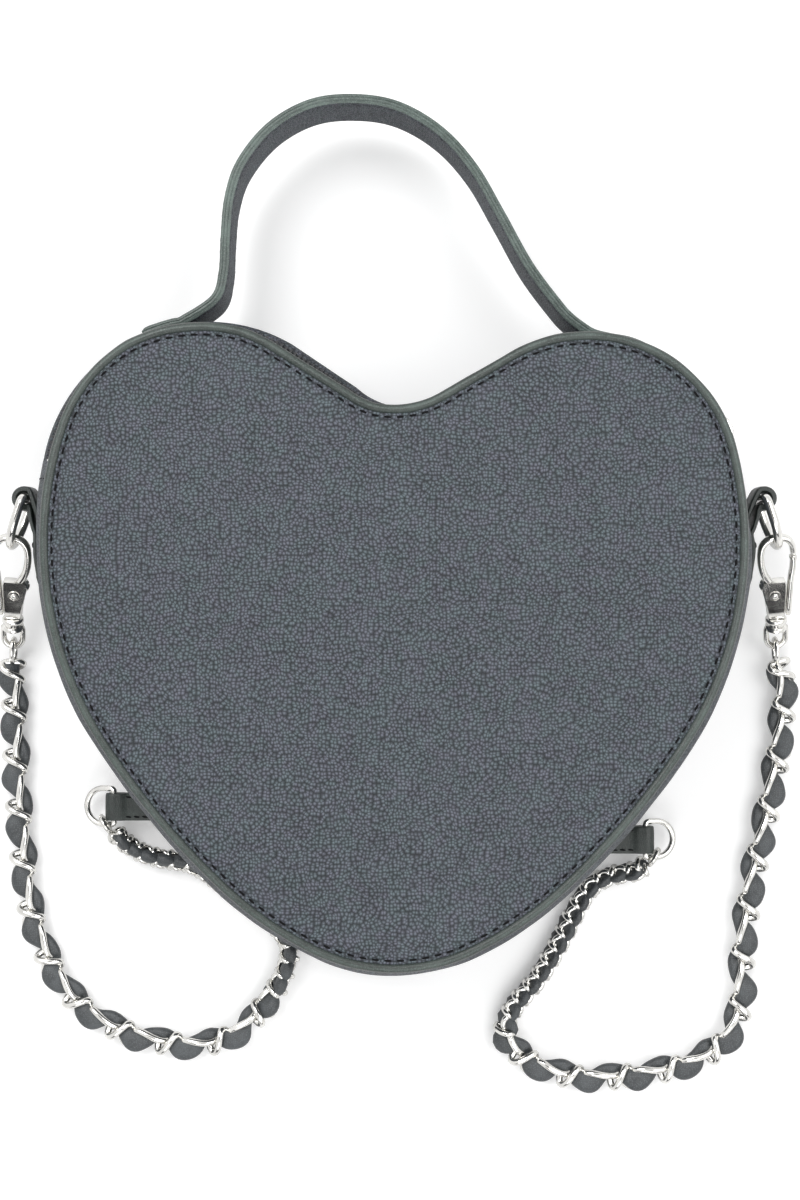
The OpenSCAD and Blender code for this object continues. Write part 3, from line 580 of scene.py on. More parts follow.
def finish(key):
    """Makes each finish once. Its colour comes from the panel, or is set here where the panel has none."""
    look = bpy.context.scene.heart_bag_look
    makers = {
        "leather": lambda: pebbled_leather("pebbled_leather", look.leather, look.grain, flat=True),
        "gusset": lambda: pebbled_leather("gusset_leather", look.leather, look.grain),
        "strap_leather": lambda: pebbled_leather("strap_leather", shade(look.leather, 1.35),
                                                 look.grain * 0.6, 0.0001, 0.5),
        # the handle's edge paint, lightened to stand for a painted highlight along its edges
        "handle_edge": lambda: smooth_leather("handle_edge_paint", shade(look.edge, 2.4), 0.3),
        "edge": lambda: smooth_leather("edge_leather", look.edge, 0.34),
        # painted highlight: a lighter copy of the edge leather, for the crest of the fold
        "rim": lambda: smooth_leather("edge_paint", shade(look.edge, 1.6), 0.32),
        "tab": lambda: smooth_leather("tab_leather", shade(look.edge, 0.6), 0.36),
        "lace": lambda: smooth_leather("strap_lace", look.lace, 0.42),
        "thread": lambda: thread("black_thread", look.thread),
        "metal": lambda: nickel("polished_nickel", look.metal),
        "tape": lambda: woven("zip_tape", (0.018, 0.019, 0.022), 1400, 0.75),
        "lining": lambda: woven("lining_cloth", (0.03, 0.031, 0.036), 900),
        "teeth": lambda: resin("zip_teeth", (0.02, 0.021, 0.024)),
        "board": lambda: fibreboard("stiffening_board"),
    }
    if key not in FINISHES:
        FINISHES[key] = makers[key]()
    return FINISHES[key]


# Sizes and colours


def length(name, description, default, low, high):
    return FloatProperty(name=name, description=description, default=default, min=low, max=high,
                         unit="LENGTH")


def tint(name, description, default):
    return FloatVectorProperty(name=name, description=description, default=default, min=0, max=1,
                               subtype="COLOR")


class HeartBagSizes(bpy.types.PropertyGroup):
    welt: length("Welt width", "Width of the folded edge round both faces", 0.0034, 0.001, 0.005)
    puff: length("Panel puff", "How far the padded panels stand proud at their middle", 0.0016, 0.0, 0.004)
    stitch: length("Stitch pitch", "Distance from one stitch to the next", 0.0042, 0.002, 0.006)
    thread: length("Thread", "Thickness of the sewing thread", 0.0009, 0.0004, 0.0015)
    tooth: length("Zip pitch", "Distance from one zip tooth to the next", 0.0018, 0.001, 0.003)
    link: length("Chain pitch", "Distance from one chain link to the next", 0.0184, 0.008, 0.025)
    wire: length("Chain wire", "Wire diameter of the chain links", 0.0026, 0.001, 0.003)


class HeartBagLook(bpy.types.PropertyGroup):
    leather: tint("Leather", "Colour of the pebbled leather", (0.0375, 0.0435, 0.0505))
    lace: tint("Lace", "Colour of the leather woven through the chain", (0.062, 0.068, 0.072))
    edge: tint("Edge", "Colour of the folded edges and tabs", (0.040, 0.052, 0.047))
    thread: tint("Thread", "Colour of the stitches", (0.007, 0.007, 0.008))
    metal: tint("Metal", "Colour of the plated hardware", (0.80, 0.79, 0.76))
    grain: length("Grain", "Size of one pebble of the leather", 0.00118, 0.0005, 0.004)
    light: FloatProperty(name="Light", description="Power of the main lamp", default=5.0, min=0, max=50)


def sizes():
    """The sizes that the panel shows, in metres."""
    return bpy.context.scene.heart_bag_sizes


# Body


# The panel's section, from under the welt over the groove of the seam: depth from the rim, and height
PANEL_RIM = ((-2.0, 73.2), (-2.7, 74.6), (-3.1, 75.15), (-3.5, 75.3), (-3.9, 75.28), (-4.1, 75.1),
             (-4.5, 75.1), (-4.7, 75.35), (-5.6, 75.6), (-7.4, 75.8), (-9.0, 75.85))
PANEL_MIDDLE = np.array([0.0, 8.0])
PANEL_RINGS, PANEL_FLOOR = 46, 0.15
SEAM_IN, SEAM_Z, SEAM_STITCH = -4.3, 74.9, 2.6
WELT_SIDES, WELT_TALL, WELT_CREST = 24, 1.25, (4, 5)


def turned_over(rows, front):
    """The rows as they are for the front face, or mirrored through the bag's depth for the back."""
    if not front:
        rows[..., 2] = DEPTH - rows[..., 2]
    return rows


def panel_rows(front):
    """Rings of places from the welt to the middle of a padded panel. The back lies flat on the ground."""
    i = np.arange(len(HEART.s))
    puff = sizes().puff / MM if front else 0.0
    rings = [(HEART.at(i, d), z) for d, z in PANEL_RIM]
    edge, top = rings[-1]
    for f in np.linspace(0, 1, PANEL_RINGS)[1:]:
        rings.append((edge + (PANEL_MIDDLE - edge) * min(f, 0.985), top + puff * (1 - (1 - f) ** 2.6)))
    rows = np.array([np.column_stack([xy, np.full(len(i), z)]) for xy, z in rings])
    wave = ripple(rows, 46, 0.55, 3.0) + ripple(rows, 17, 0.16, 9.0)
    rows[..., 2] += wave * np.clip((np.arange(len(rows)) - 4) / 14, 0, 1)[:, None]
    rows = turned_over(rows, front)
    rows[..., 2] = np.maximum(rows[..., 2], PANEL_FLOOR)
    return rows


def welt_rows(front):
    """The folded edge's section at each station, slightly uneven."""
    i = np.arange(len(HEART.s))
    half = sizes().welt / MM / 2
    section = ring(half, WELT_SIDES, WELT_TALL)
    path = np.column_stack([HEART.at(i, -half), np.full(len(i), DEPTH - half * WELT_TALL)])[:, None]
    rows = path + section[:, :1] * HEART.normal(i)[:, None] + section[:, 1:] * UP
    rows = path + (rows - path) * (1 + ripple(rows, 9, 0.08, 5.0))[..., None]
    rows[..., 2] = np.minimum(rows[..., 2], DEPTH)
    return turned_over(rows, front)


class HEARTBAG_OT_panels(bpy.types.Operator):
    """Make the padded front and back panels, their folded edges and their stitches"""

    bl_idname = "heart_bag.panels"
    bl_label = "Panels and Edges"
    bl_options = {"REGISTER", "UNDO"}

    def execute(self, context):
        i = np.arange(len(HEART.s) + 1) % len(HEART.s)
        for side, front in (("front", True), ("back", False)):
            panel = Form()
            panel.skin(panel_rows(front))
            panel.made(side + "_panel_leather", [finish("leather")], "bag", [side + "_panel"], "leather")
            edge = Form()
            # a thin lighter line along the crest of the fold: a painted highlight
            kinds = [int(c in WELT_CREST) for c in range(WELT_SIDES)]
            edge.skin(welt_rows(front), loop=True, columns=kinds)
            edge.made(side + "_edge_fold", [finish("edge"), finish("rim")], "bag", [side + "_piping"],
                      "leather_trim")
            path = turned_over(np.column_stack([HEART.at(i, SEAM_IN), np.full(len(i), SEAM_Z)]), front)
            seam = Form()
            sew(seam, path, np.tile(UP if front else -UP, (len(i), 1)), SEAM_STITCH, 1.2, slant=0.05)
            seam.sewn(side + "_panel_stitches")
        return {"FINISHED"}


def wavy_wall(run, z, out, z_low, z_high, seed):
    """Places on the gusset with its slight dents, which fade out towards both edges."""
    flat = HEART.wall(run, z, out)
    wave = ripple(flat, 30, 0.5, seed) + ripple(flat, 11, 0.14, seed + 7)
    fade = np.clip(np.minimum(z - z_low, z_high - z) / 14, 0, 1)
    return flat + HEART.normal(run) * (wave * fade)[..., None]


def gusset_rows(run, z_low, z_high, n, seed):
    """A leather wall with turned edges, closed round its section."""
    run = run[:, None]
    z = np.linspace(z_low, z_high, n)
    edge = np.minimum((z - z_low) / 1.2, 1) * np.minimum((z_high - z) / 1.2, 1)
    out = GUSSET_OUT - (1 - np.sqrt(np.clip(1 - (1 - edge) ** 2, 0, 1))) * 0.8
    return np.concatenate([wavy_wall(run, z, out, z_low, z_high, seed),
                           HEART.wall(run, z[::-1], GUSSET_OUT - WALL_THICK)], axis=1)


class HEARTBAG_OT_gusset(bpy.types.Operator):
    """Make the gusset's leather walls, with their seams at the ends of the zip"""

    bl_idname = "heart_bag.gusset"
    bl_label = "Gusset"
    bl_options = {"REGISTER", "UNDO"}

    def execute(self, context):
        low, top = HEART.low_run(), HEART.top_run()
        # the lower wall covers the ends of the zip
        lap = np.arange(low[0] - 2, low[-1] + 3)
        for name, run, z_low, z_high, rows, seed, node in (
                ("gusset_wall", lap, WALL_LOW, WALL_HIGH, 40, 1.0, "bottom_gusset"),
                ("gusset_top_wall", top, WALL_LOW, ZIP_LOW, 28, 2.0, "top_gusset_back"),
                ("gusset_zip_edge", top, ZIP_HIGH, WALL_HIGH, 8, 3.0, "top_gusset_front")):
            wall = Form()
            wall.skin(gusset_rows(run, z_low, z_high, rows, seed))
            wall.made(name, [finish("gusset")], "bag", [node], "leather")
        seam = Form()
        for z, z_low, z_high, seed in ((ZIP_LOW - 2.4, WALL_LOW, ZIP_LOW, 2.0),
                                       (ZIP_HIGH + 2.2, ZIP_HIGH, WALL_HIGH, 3.0)):
            path = wavy_wall(top, np.full(len(top), z), GUSSET_OUT - 0.38, z_low, z_high, seed)
            sew(seam, path, HEART.normal(top), 2.1, 0.8)
        z = np.linspace(5.5, 70.5, 40)
        for station in (low[2], low[-4]):
            run = np.full(len(z), station)
            path = wavy_wall(run, z, GUSSET_OUT - 0.2, WALL_LOW, WALL_HIGH, 1.0)
            sew(seam, path, HEART.normal(run), 2.1, 0.8)
        seam.sewn("gusset_stitches")
        return {"FINISHED"}


# Zip


ZIP_DEPTH, TAPE_HALF = GUSSET_IN - 0.5, 0.4
TEETH_OUT, STOPS_OUT = ZIP_DEPTH + 1.35, ZIP_DEPTH + 1.2
# One tooth, from the zip's middle line outwards: share of its length, half width and half thickness
TOOTH = ((0, 0.35, 0.45), (0.18, 0.58, 0.85), (0.5, 0.5, 0.95), (1, 0.42, 0.85))
TOOTH_FROM, TOOTH_TO = 0.75, 2.7
# The slider, parked at an angle on the right lobe: radii and half thicknesses of its two plates
SLIDER_AT, SLIDER_SPREAD = 23.0, 6.6
SLIDER_PLATES = ((51.75, 0.65), (46.35, 0.6))
NECK_RADII = (46.4, 49, 51.6)
BRIDGE_R, BRIDGE_RISE, BRIDGE_SPREAD = 51.9, 2.2, 4.1
# The pull: middle of its outline and of its hole, along it from the slider, and radii of its faces
PULL_MID, HOLE_MID = 9.6, 2.9
PULL_LOW, PULL_HIGH, PULL_BEVEL = 52.55, 53.4, 0.2


def on_lobe(angle, radius, z):
    """A place by its angle and radius on the right lobe, and its height above the zip's middle."""
    a = math.radians(angle)
    return np.array([*HEART.lobe, ZIP_Z]) + np.array([radius * math.cos(a), radius * math.sin(a), z])


class HEARTBAG_OT_zip(bpy.types.Operator):
    """Make the zip: tapes, teeth, end stops, slider and pull"""

    bl_idname = "heart_bag.zip"
    bl_label = "Zip"
    bl_options = {"REGISTER", "UNDO"}

    def execute(self, context):
        top = HEART.top_run()
        for side, low, high in (("front", 1.5, 12.0), ("back", -12.0, -1.5)):
            z = np.linspace(ZIP_Z + low, ZIP_Z + high, 8)
            tape = Form()
            tape.skin(np.concatenate([HEART.wall(top[:, None], z, ZIP_DEPTH + TAPE_HALF),
                                      HEART.wall(top[:, None], z[::-1], ZIP_DEPTH - TAPE_HALF)], axis=1))
            tape.made("zip_tape_" + side, [finish("tape")], "bag", ["zipper_tape_" + side], "zip")
        self.teeth(top)
        stops = Form()
        for i in (top[1], top[-2]):
            n = HEART.normal(i)
            base = HEART.wall(i, ZIP_Z, STOPS_OUT)
            path = np.array([base + np.cross(UP, n) * u * 0.9 for u in (-1, -0.8, 0, 0.8, 1)])
            sections = [ring(2.9 * grow, 14, 0.2, 3.4) for grow in (0.7, 1, 1, 1, 0.7)]
            stops.skin(swept(path, sections, up=n))
        stops.plated("zip_end_stops", "bag", ["zipper_stops"])
        self.slider()
        self.pull()
        return {"FINISHED"}

    def teeth(self, top):
        """Two rows of teeth that take turns along the zip's middle line."""
        pitch = sizes().tooth / MM
        s = HEART.s[top].copy()
        s[s >= HEART.zip_left] -= HEART.total
        angles = np.unwrap(HEART.a[top])
        bulge = HEART.bulge(ZIP_Z)
        corners = ring(1.0, 8, 1.0, 3.0)
        for side, sign, shift in (("front", 1, 0.0), ("back", -1, 0.5)):
            teeth = Form()
            for k in range(int((s[-1] - s[0]) / pitch)):
                at = s[0] + (k + 0.25 + shift) * pitch
                x, y, crown, swell = (np.interp(at, s, v[top])
                                      for v in (HEART.x, HEART.y, HEART.crown, HEART.swell))
                angle = np.interp(at, s, angles)
                n = np.array([math.cos(angle), math.sin(angle), 0])
                t = np.cross(UP, n)
                base = np.array([x, y, ZIP_Z]) + n * (crown * bulge + swell * (1 - bulge) + TEETH_OUT)
                teeth.skin([[base + t * (wide * u) + n * (thick * v)
                             + UP * sign * (TOOTH_FROM + (TOOTH_TO - TOOTH_FROM) * f) for u, v in corners]
                            for f, wide, thick in TOOTH])
            teeth.made("zip_teeth_" + side, [finish("teeth")], "bag", ["zipper_teeth_" + side], "zip")

    def slider(self):
        """The slider's plates, neck and bridge, bent to the lobe that it runs on."""
        runner = Form()
        for radius, thick in SLIDER_PLATES:
            rows = []
            for f in np.linspace(-1, 1, 15):
                # broad where the two rows of teeth enter, narrow where the joined chain leaves
                wide = (4.1 + 0.9 * min(f, 0)) * math.sqrt(max(0.0, 1 - 0.55 * abs(f) ** 6))
                grow = 1.0 if abs(f) < 0.95 else 0.75
                rows.append([on_lobe(SLIDER_AT + f * SLIDER_SPREAD, radius + v * thick * grow, u * wide)
                             for u, v in ring(1.0, 20, 1.0, 4.0)])
            runner.skin(rows)
        runner.skin([[on_lobe(SLIDER_AT + u * 1.7, r, v * 0.38) for u, v in ring(1.0, 12)]
                     for r in NECK_RADII])
        arch = np.array([on_lobe(SLIDER_AT + BRIDGE_SPREAD * u,
                                 BRIDGE_R + BRIDGE_RISE * (1 - abs(u) ** 3.4), 0)
                         for u in np.linspace(-1, 1, 21)])
        runner.skin(swept(arch, ring(1.15, 12, 0.55, 2.6)))
        runner.plated("zip_slider_body", "slider", ["zipper_slider"], crease=50)

    def pull(self):
        """The pull: a long plate with a hole for the bridge, bent to the lobe and bevelled at its rims."""
        outer, inner = [], []
        for t in around(60):
            c, s = math.cos(t), math.sin(t)
            u = PULL_MID + 10.4 * bent_power(c, 0.75)
            outer.append((u, 3.2 * bent_power(s, 0.62) * (0.88 if u < 6 else 1)))
            inner.append((HOLE_MID + 2.15 * bent_power(c, 0.7), 1.6 * bent_power(s, 0.7)))
        low, high = PULL_LOW + PULL_BEVEL, PULL_HIGH - PULL_BEVEL
        rows = []
        for pairs, middle, grow, r in (
                (inner, HOLE_MID, 0.12, PULL_LOW), (inner, HOLE_MID, 0, low),
                (inner, HOLE_MID, 0, high), (inner, HOLE_MID, 0.12, PULL_HIGH),
                (outer, PULL_MID, -0.25, PULL_HIGH), (outer, PULL_MID, 0, high),
                (outer, PULL_MID, 0, low), (outer, PULL_MID, -0.25, PULL_LOW)):
            row = []
            for u, v in pairs:
                share = 1 + grow / max(math.hypot(u - middle, v), 1e-6)
                row.append(on_lobe(SLIDER_AT + math.degrees((middle + (u - middle) * share) / PULL_HIGH),
                                   r, v * share))
            rows.append(row)
        pull = Form()
        pull.skin(rows, loop=True)
        pull.plated("zip_pull_tab", "pull", ["zipper_pull"], crease=50)


# Handle


SPAN, RISE, STRAP_W, STRAP_T, STRAP_STEP = 134.0, 85.0, 28.0, 3.8, 1.2
# The free part, in shares of the span and the rise
ARCH = [(-0.467, 0.18), (-0.445, 0.29), (-0.44, 0.43), (-0.43, 0.594), (-0.398, 0.741), (-0.321, 0.888),
        (-0.216, 0.98), (-0.1, 1), (0.011, 0.969), (0.119, 0.869), (0.205, 0.72), (0.276, 0.528),
        (0.351, 0.316), (0.429, 0.151), (0.459, 0.1), (0.487, 0.066), (0.517, 0.037)]
# The sewn ends: angle on the lobe, and lift off the wall
LEFT_ROOT = ((113, -1.1), (110, -1.1), (107, -1.1), (104, -1.0), (101, -0.9), (98.5, -0.5))
RIGHT_ROOT = ((79, 0.7), (71.5, 1.2), (64, 1.3))
# The handle's stitches: how far they lie in from the strap's edges, and how far in from its faces
SEAM_EDGE, SEAM_DEEP = 2.2, 0.42


def root(centre, crown, turns):
    """Places on a lobe's wall where an end of the strap is sewn on."""
    return [centre + (HEART.LOBE_R + crown + GUSSET_OUT + lift + STRAP_T / 2) * heading(a)
            for a, lift in turns]


def strap_line():
    """The middle of the strap, from its left end to its right one."""
    x, y = HEART.lobe
    arch = [np.array([u * SPAN, y + HEART.LOBE_R + v * RISE]) for u, v in ARCH]
    line = smooth_line(root(np.array([-x, y]), HEART.LEFT_CROWN, LEFT_ROOT) + arch
                       + root(HEART.lobe, HEART.RIGHT_CROWN, RIGHT_ROOT), STRAP_STEP)
    return np.column_stack([line, np.full(len(line), CARRY_Z)])


class HEARTBAG_OT_handle(bpy.types.Operator):
    """Make the handle: two leathers over a core, painted edges lightened as a painted highlight, and
    stitches
    """

    bl_idname = "heart_bag.handle"
    bl_label = "Handle"
    bl_options = {"REGISTER", "UNDO"}

    def execute(self, context):
        line = strap_line()
        # section: across the strap's width, then through its thickness
        w, t = STRAP_W / 2, STRAP_T / 2
        face = np.linspace(-1, 1, 15)[1:-1]
        top = [(w * u * 0.985, t * (1.0 - 0.10 * abs(u) ** 6)) for u in face]
        rim = [(w - 0.35, t * 0.86), (w - 0.05, t * 0.62), (w, t * 0.40), (w - 0.22, t * 0.27),
               (w - 0.02, t * 0.12)]
        rim += [(x, -y) for x, y in rim[::-1]]
        half = top + rim
        section = np.array(half + [(-x, -y) for x, y in half])
        # the edge strips take the edge paint, lightened as a painted highlight
        kinds = [0] * len(top) + [1] * (len(rim) - 1) + [0] * (len(top) + 1) + [1] * (len(rim) - 1) + [0]
        side = np.cross(UP, ways(line))
        # both ends are pared down on their outer face
        s = np.arange(len(line)) * STRAP_STEP
        pare = np.interp(np.minimum(s, s[-1] - s), [0, 0.9, 2.6], [0.45, 0.85, 1.0])
        depth = np.where(section[:, 1] > 0, section[:, 1] * pare[:, None], section[:, 1])
        rows = line[:, None] + section[:, :1] * UP + depth[..., None] * side[:, None]
        band = Form()
        band.skin(rows, columns=kinds)
        strap = band.made("handle_band", [finish("strap_leather"), finish("handle_edge")], None,
                          ["handle_outer", "handle_core", "handle_lining", "left_handle_root",
                           "right_handle_root"], "leather")
        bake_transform(strap)
        seam = Form()
        for u in (-1, 1):
            for v in (-1, 1):
                path = line + UP * (u * (w - SEAM_EDGE)) + side * (v * (t - SEAM_DEEP))
                sew(seam, path[3:-3], side[3:-3] * v, 2.2, 0.8)
        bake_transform(seam.sewn("handle_stitches", None))
        return {"FINISHED"}


# Side hardware


LOOP = np.array([130.502, 42.496, CARRY_Z])
RING_LEAN, RING_W, RING_LEN, RING_WIRE = 18.4, 17.0, 17.4, 3.2
HOOK_LEAN, HOOK_TILT = 5.0, 30.0
# The side tab: heights on the outline that it lies between, half its width, and the radius of its turn
# round the ring's bar
TAB_Y, TAB_HALF, TAB_TURN = (9.0, 36.5), 7.5, 3.25
TAB_SEAM, TAB_SEAM_OUT = 5.6, 2.75
TAB_STITCH = (2.0, 3.0, 0.6)  # length, pitch and thickness
# Places on the hook lie in its own frame, at the ring and with the swivel towards -Y: x and y from the ring
HOOK_EYE = [(5.75, -3.6), (5.7, -2.0), (5.1, 0.4), (3.7, 2.3), (1.4, 3.25), (-1.1, 3.2), (-3.6, 2.2),
            (-5.2, 0.2), (-5.8, -2.4), (-5.8, -5.5), (-5.3, -8.8), (-4.3, -11.8), (-2.9, -14.2)]
# y, the two sides in x, and a share of the plate's thickness
HOOK_PLATE = ((-13.9, -4.6, 2.0, 0.7), (-14.2, -5.2, 3.0, 1), (-15.3, -5.8, 3.35, 1),
              (-18.2, -5.1, 3.3, 1), (-21.5, -4.3, 3.05, 1), (-25.0, -3.6, 2.8, 1),
              (-28.7, -3.15, 2.75, 1), (-29.2, -2.9, 2.6, 0.85))
PLATE_HALF = 2.05
BEVEL = ((1, -0.8), (1, 0.8), (0.9, 1), (-0.9, 1), (-1, 0.8), (-1, -0.8), (-0.9, -1), (0.9, -1))
NUB_AT, NUB_LENGTH, NUB_TAPER = (-5.0, -16.4), 1.1, (1, 1, 0.98, 0.94, 0.86, 0.7, 0.4)
RIVET_AT = (-0.8, -19.6)
# Turned pieces: radius and height
RIVET = ((2.0, -0.4), (2.0, 0.3), (1.85, 0.5), (1.5, 0.5), (1.35, 0.25), (1.1, 0.25), (0.95, 0.45),
         (0.5, 0.6), (0.1, 0.62))
SWIVEL = ((1.5, 28.2), (1.55, 29.5), (3.5, 29.6), (3.85, 29.9), (3.9, 31.0), (3.6, 31.3), (3.1, 31.5),
          (3.1, 32.5), (3.6, 32.7), (3.9, 33.0), (3.9, 34.2), (3.5, 34.5), (1.0, 34.6))
GATE = [(5.75, -4.1), (5.8, -6.5), (5.65, -9.5), (5.2, -12.5), (4.9, -15.5), (4.7, -19.5),
        (4.45, -24.0), (4.3, -28.4)]
YOKE_HALF, YOKE_DEEP, YOKE_Y = 3.5, 3.6, -38.2
YOKE_LEG = [(-3.3, -33.6), (-YOKE_HALF, -35.4), (-YOKE_HALF, YOKE_Y)]


def mirrored(left):
    return Matrix.Scale(-1, 4, (1, 0, 0)) if left else Matrix.Identity(4)


def ring_place(left):
    return mirrored(left) @ Matrix.Translation(LOOP) @ spin(RING_LEAN, "Z")


def hook_place(left):
    return ring_place(left) @ Matrix.Translation((0, -RING_LEN, 0)) @ spin(HOOK_LEAN - RING_LEAN, "Z") \
        @ spin(HOOK_TILT, "X")


def d_ring(form, width, length, wire):
    """A straight bar along Z at the origin, two legs and a round end along -Y."""
    half = width / 2 + wire / 2
    leg = length - half
    corner = wire * 0.55
    bar = [(0, 0, z) for z in np.linspace(-half + corner, half - corner, 12)]
    side = [(0, -corner + corner * math.cos(a), half - corner + corner * math.sin(a))
            for a in np.linspace(0.2, math.pi / 2, 5)]
    side += [(0, y, half) for y in np.linspace(-corner - 0.4, -leg, 6)]
    end = [(0, -leg - half * math.sin(a), half * math.cos(a)) for a in np.linspace(0, math.pi, 34)[1:]]
    other = [(x, y, -z) for x, y, z in side[-2::-1]]
    form.skin(swept(np.array(bar + side + end + other), ring(wire / 2, 16), up=(1, 0, 0), loop=True),
              loop=True)


def plan_line(points):
    return smooth_line([(x, y, 0) for x, y in points], 0.5)


def bar_rows(path, wide, thick, power, sides):
    """A bar of soft oblong section, with its width and thickness at each place of its path."""
    return swept(path, [ring(a / 2, sides, b / a, power) for a, b in zip(wide, thick)])


class HEARTBAG_OT_hardware(bpy.types.Operator):
    """Make the side tabs, rings, snap hooks, gates and swivels"""

    bl_idname = "heart_bag.hardware"
    bl_label = "Side Hardware"
    bl_options = {"REGISTER", "UNDO"}

    def execute(self, context):
        for side, left in (("right", False), ("left", True)):
            self.tab(left, side)
            form = Form(ring_place(left))
            d_ring(form, RING_W, RING_LEN, RING_WIRE)
            form.plated(side + "_side_ring", side + "_ring_body", [side + "_ring"])
            self.hook(left, side)
        return {"FINISHED"}

    def tab(self, left, side):
        """A strap sewn down the gusset and looped round the ring's bar."""
        sign = -1 if left else 1
        run = HEART.low_run()[::sign][:90]
        take = run[(HEART.y[run] > TAB_Y[0]) & (HEART.y[run] < TAB_Y[1])]

        def on_wall(ids, d, z=CARRY_Z):
            return HEART.wall(ids, z, GUSSET_OUT + d)

        under = on_wall(take[14:1:-3], 0.9)
        over = np.vstack([on_wall(take[5:-9:3], 2.2), on_wall(take[-7:-5], 1.6), on_wall(take[-3:-2], 0.8)])
        # up under the outer layer, over the ring's bar, and back down to the tail
        bar = np.array([sign * LOOP[0], LOOP[1], CARRY_Z])
        turn = np.array([bar + TAB_TURN * np.array([sign * math.cos(a), math.sin(a), 0])
                         for a in np.radians(np.linspace(128, -118, 13))])
        rise = under[-1] + (turn[0] - under[-1]) * 0.5 + np.array([0, 0.9, 0])
        fall = [turn[-1] + (over[0] - turn[-1]) * f + np.array([0, -0.5, 0]) for f in (0.4, 0.75)]
        path = smooth_line(np.vstack([under, [rise], turn, fall, over]), 0.8)
        # pared thin where it lies on the gusset
        half = np.interp(np.linalg.norm(path - bar, axis=1), [4, 8, 30, 44], [1.15, 0.85, 0.75, 0.5])
        grow = np.stack([half, np.full(len(path), TAB_HALF)], -1)[:, None]
        form = Form()
        form.skin(swept(path, ring(1.0, 22, 1.0, 5.0) * grow))
        form.made(side + "_tab_leather", [finish("tab")], "bag", [side + "_side_tab"], "leather")
        seam = Form()
        for u in (-1, 1):
            ids = take[6:-12]
            stitches(seam, on_wall(ids, TAB_SEAM_OUT, CARRY_Z + u * TAB_SEAM), HEART.normal(ids),
                     *TAB_STITCH)
        seam.sewn(side + "_tab_stitches")

    def hook(self, left, side):
        """The snap hook with its rivet, its gate and its swivel; the spring is not made, and its CAD part is
        hidden.
        """
        place = hook_place(left)
        body = Form(place)
        eye = plan_line(HOOK_EYE)
        s = travelled(eye)
        wide = np.interp(s, [0, 0.7, 2.5, 20, s[-1]], [1.8, 2.35, 2.4, 2.4, 3.0])
        thick = np.interp(s, [0, 0.7, 2.5, s[-1]], [2.9, 3.5, 3.7, 4.0])
        body.skin(bar_rows(eye, wide, thick, 2.6, 22))
        # the flat plate below the eye, narrowing to the boss
        body.skin([[((x0 + x1) / 2 + (x1 - x0) / 2 * u, y, PLATE_HALF * grow * v) for u, v in BEVEL]
                   for y, x0, x1, grow in HOOK_PLATE])
        # a nub for the thumb
        x, y = NUB_AT
        nub = np.array([(x - u, y - 0.4 * u, 0) for u in np.linspace(0, NUB_LENGTH, len(NUB_TAPER))])
        body.skin(swept(nub, [ring(1.5 * grow, 14, 1.2, 2.6) for grow in NUB_TAPER]))
        # rivet heads over the gate's pin
        for u, over in ((-1, 180), (1, 0)):
            body.turned(RIVET, 28, Matrix.Translation((*RIVET_AT, u * PLATE_HALF)) @ spin(over, "X"))
        body.plated(side + "_hook_body", side + "_hook_body",
                    [side + "_hook", side + "_gate_pin", side + "_gate_spring"], crease=38)
        gate = Form(place)
        arm = plan_line(GATE)
        s = np.linspace(0, 1, len(arm))
        wide = np.interp(s, [0, 0.03, 0.3, 0.42, 0.6, 0.97, 1], [1.7, 2.2, 2.2, 2.1, 2.3, 2.3, 1.6])
        thick = np.interp(s, [0, 0.04, 0.4, 0.9, 1], [2.6, 3.2, 3.5, 3.5, 2.8])
        gate.skin(bar_rows(arm, wide, thick, 2.8, 18))
        # a collar where the gate's end meets the nose
        gate.skin([[(GATE[0][0] + 1.35 * grow * u, y, 1.85 * grow * v) for u, v in ring(1.0, 18, 1.0, 3.0)]
                   for y, grow in ((-5.6, 0.85), (-5.4, 1), (-4.7, 1), (-4.5, 0.85))])
        gate.plated(side + "_gate_lever", side + "_gate_body", [side + "_gate"], crease=50)
        swivel = Form(place)
        swivel.turned(SWIVEL, 32, spin(90, "X"))
        yoke = YOKE_LEG + [(-YOKE_HALF * math.cos(a), YOKE_Y - YOKE_DEEP * math.sin(a))
                           for a in np.linspace(0, math.pi, 13)[1:-1]] + [(-x, y) for x, y in YOKE_LEG[::-1]]
        swivel.skin(swept(plan_line(yoke), ring(1.1, 16, 1.15)))
        swivel.plated(side + "_swivel_yoke", side + "_swivel_body", [side + "_swivel"], crease=50)


# Chain straps


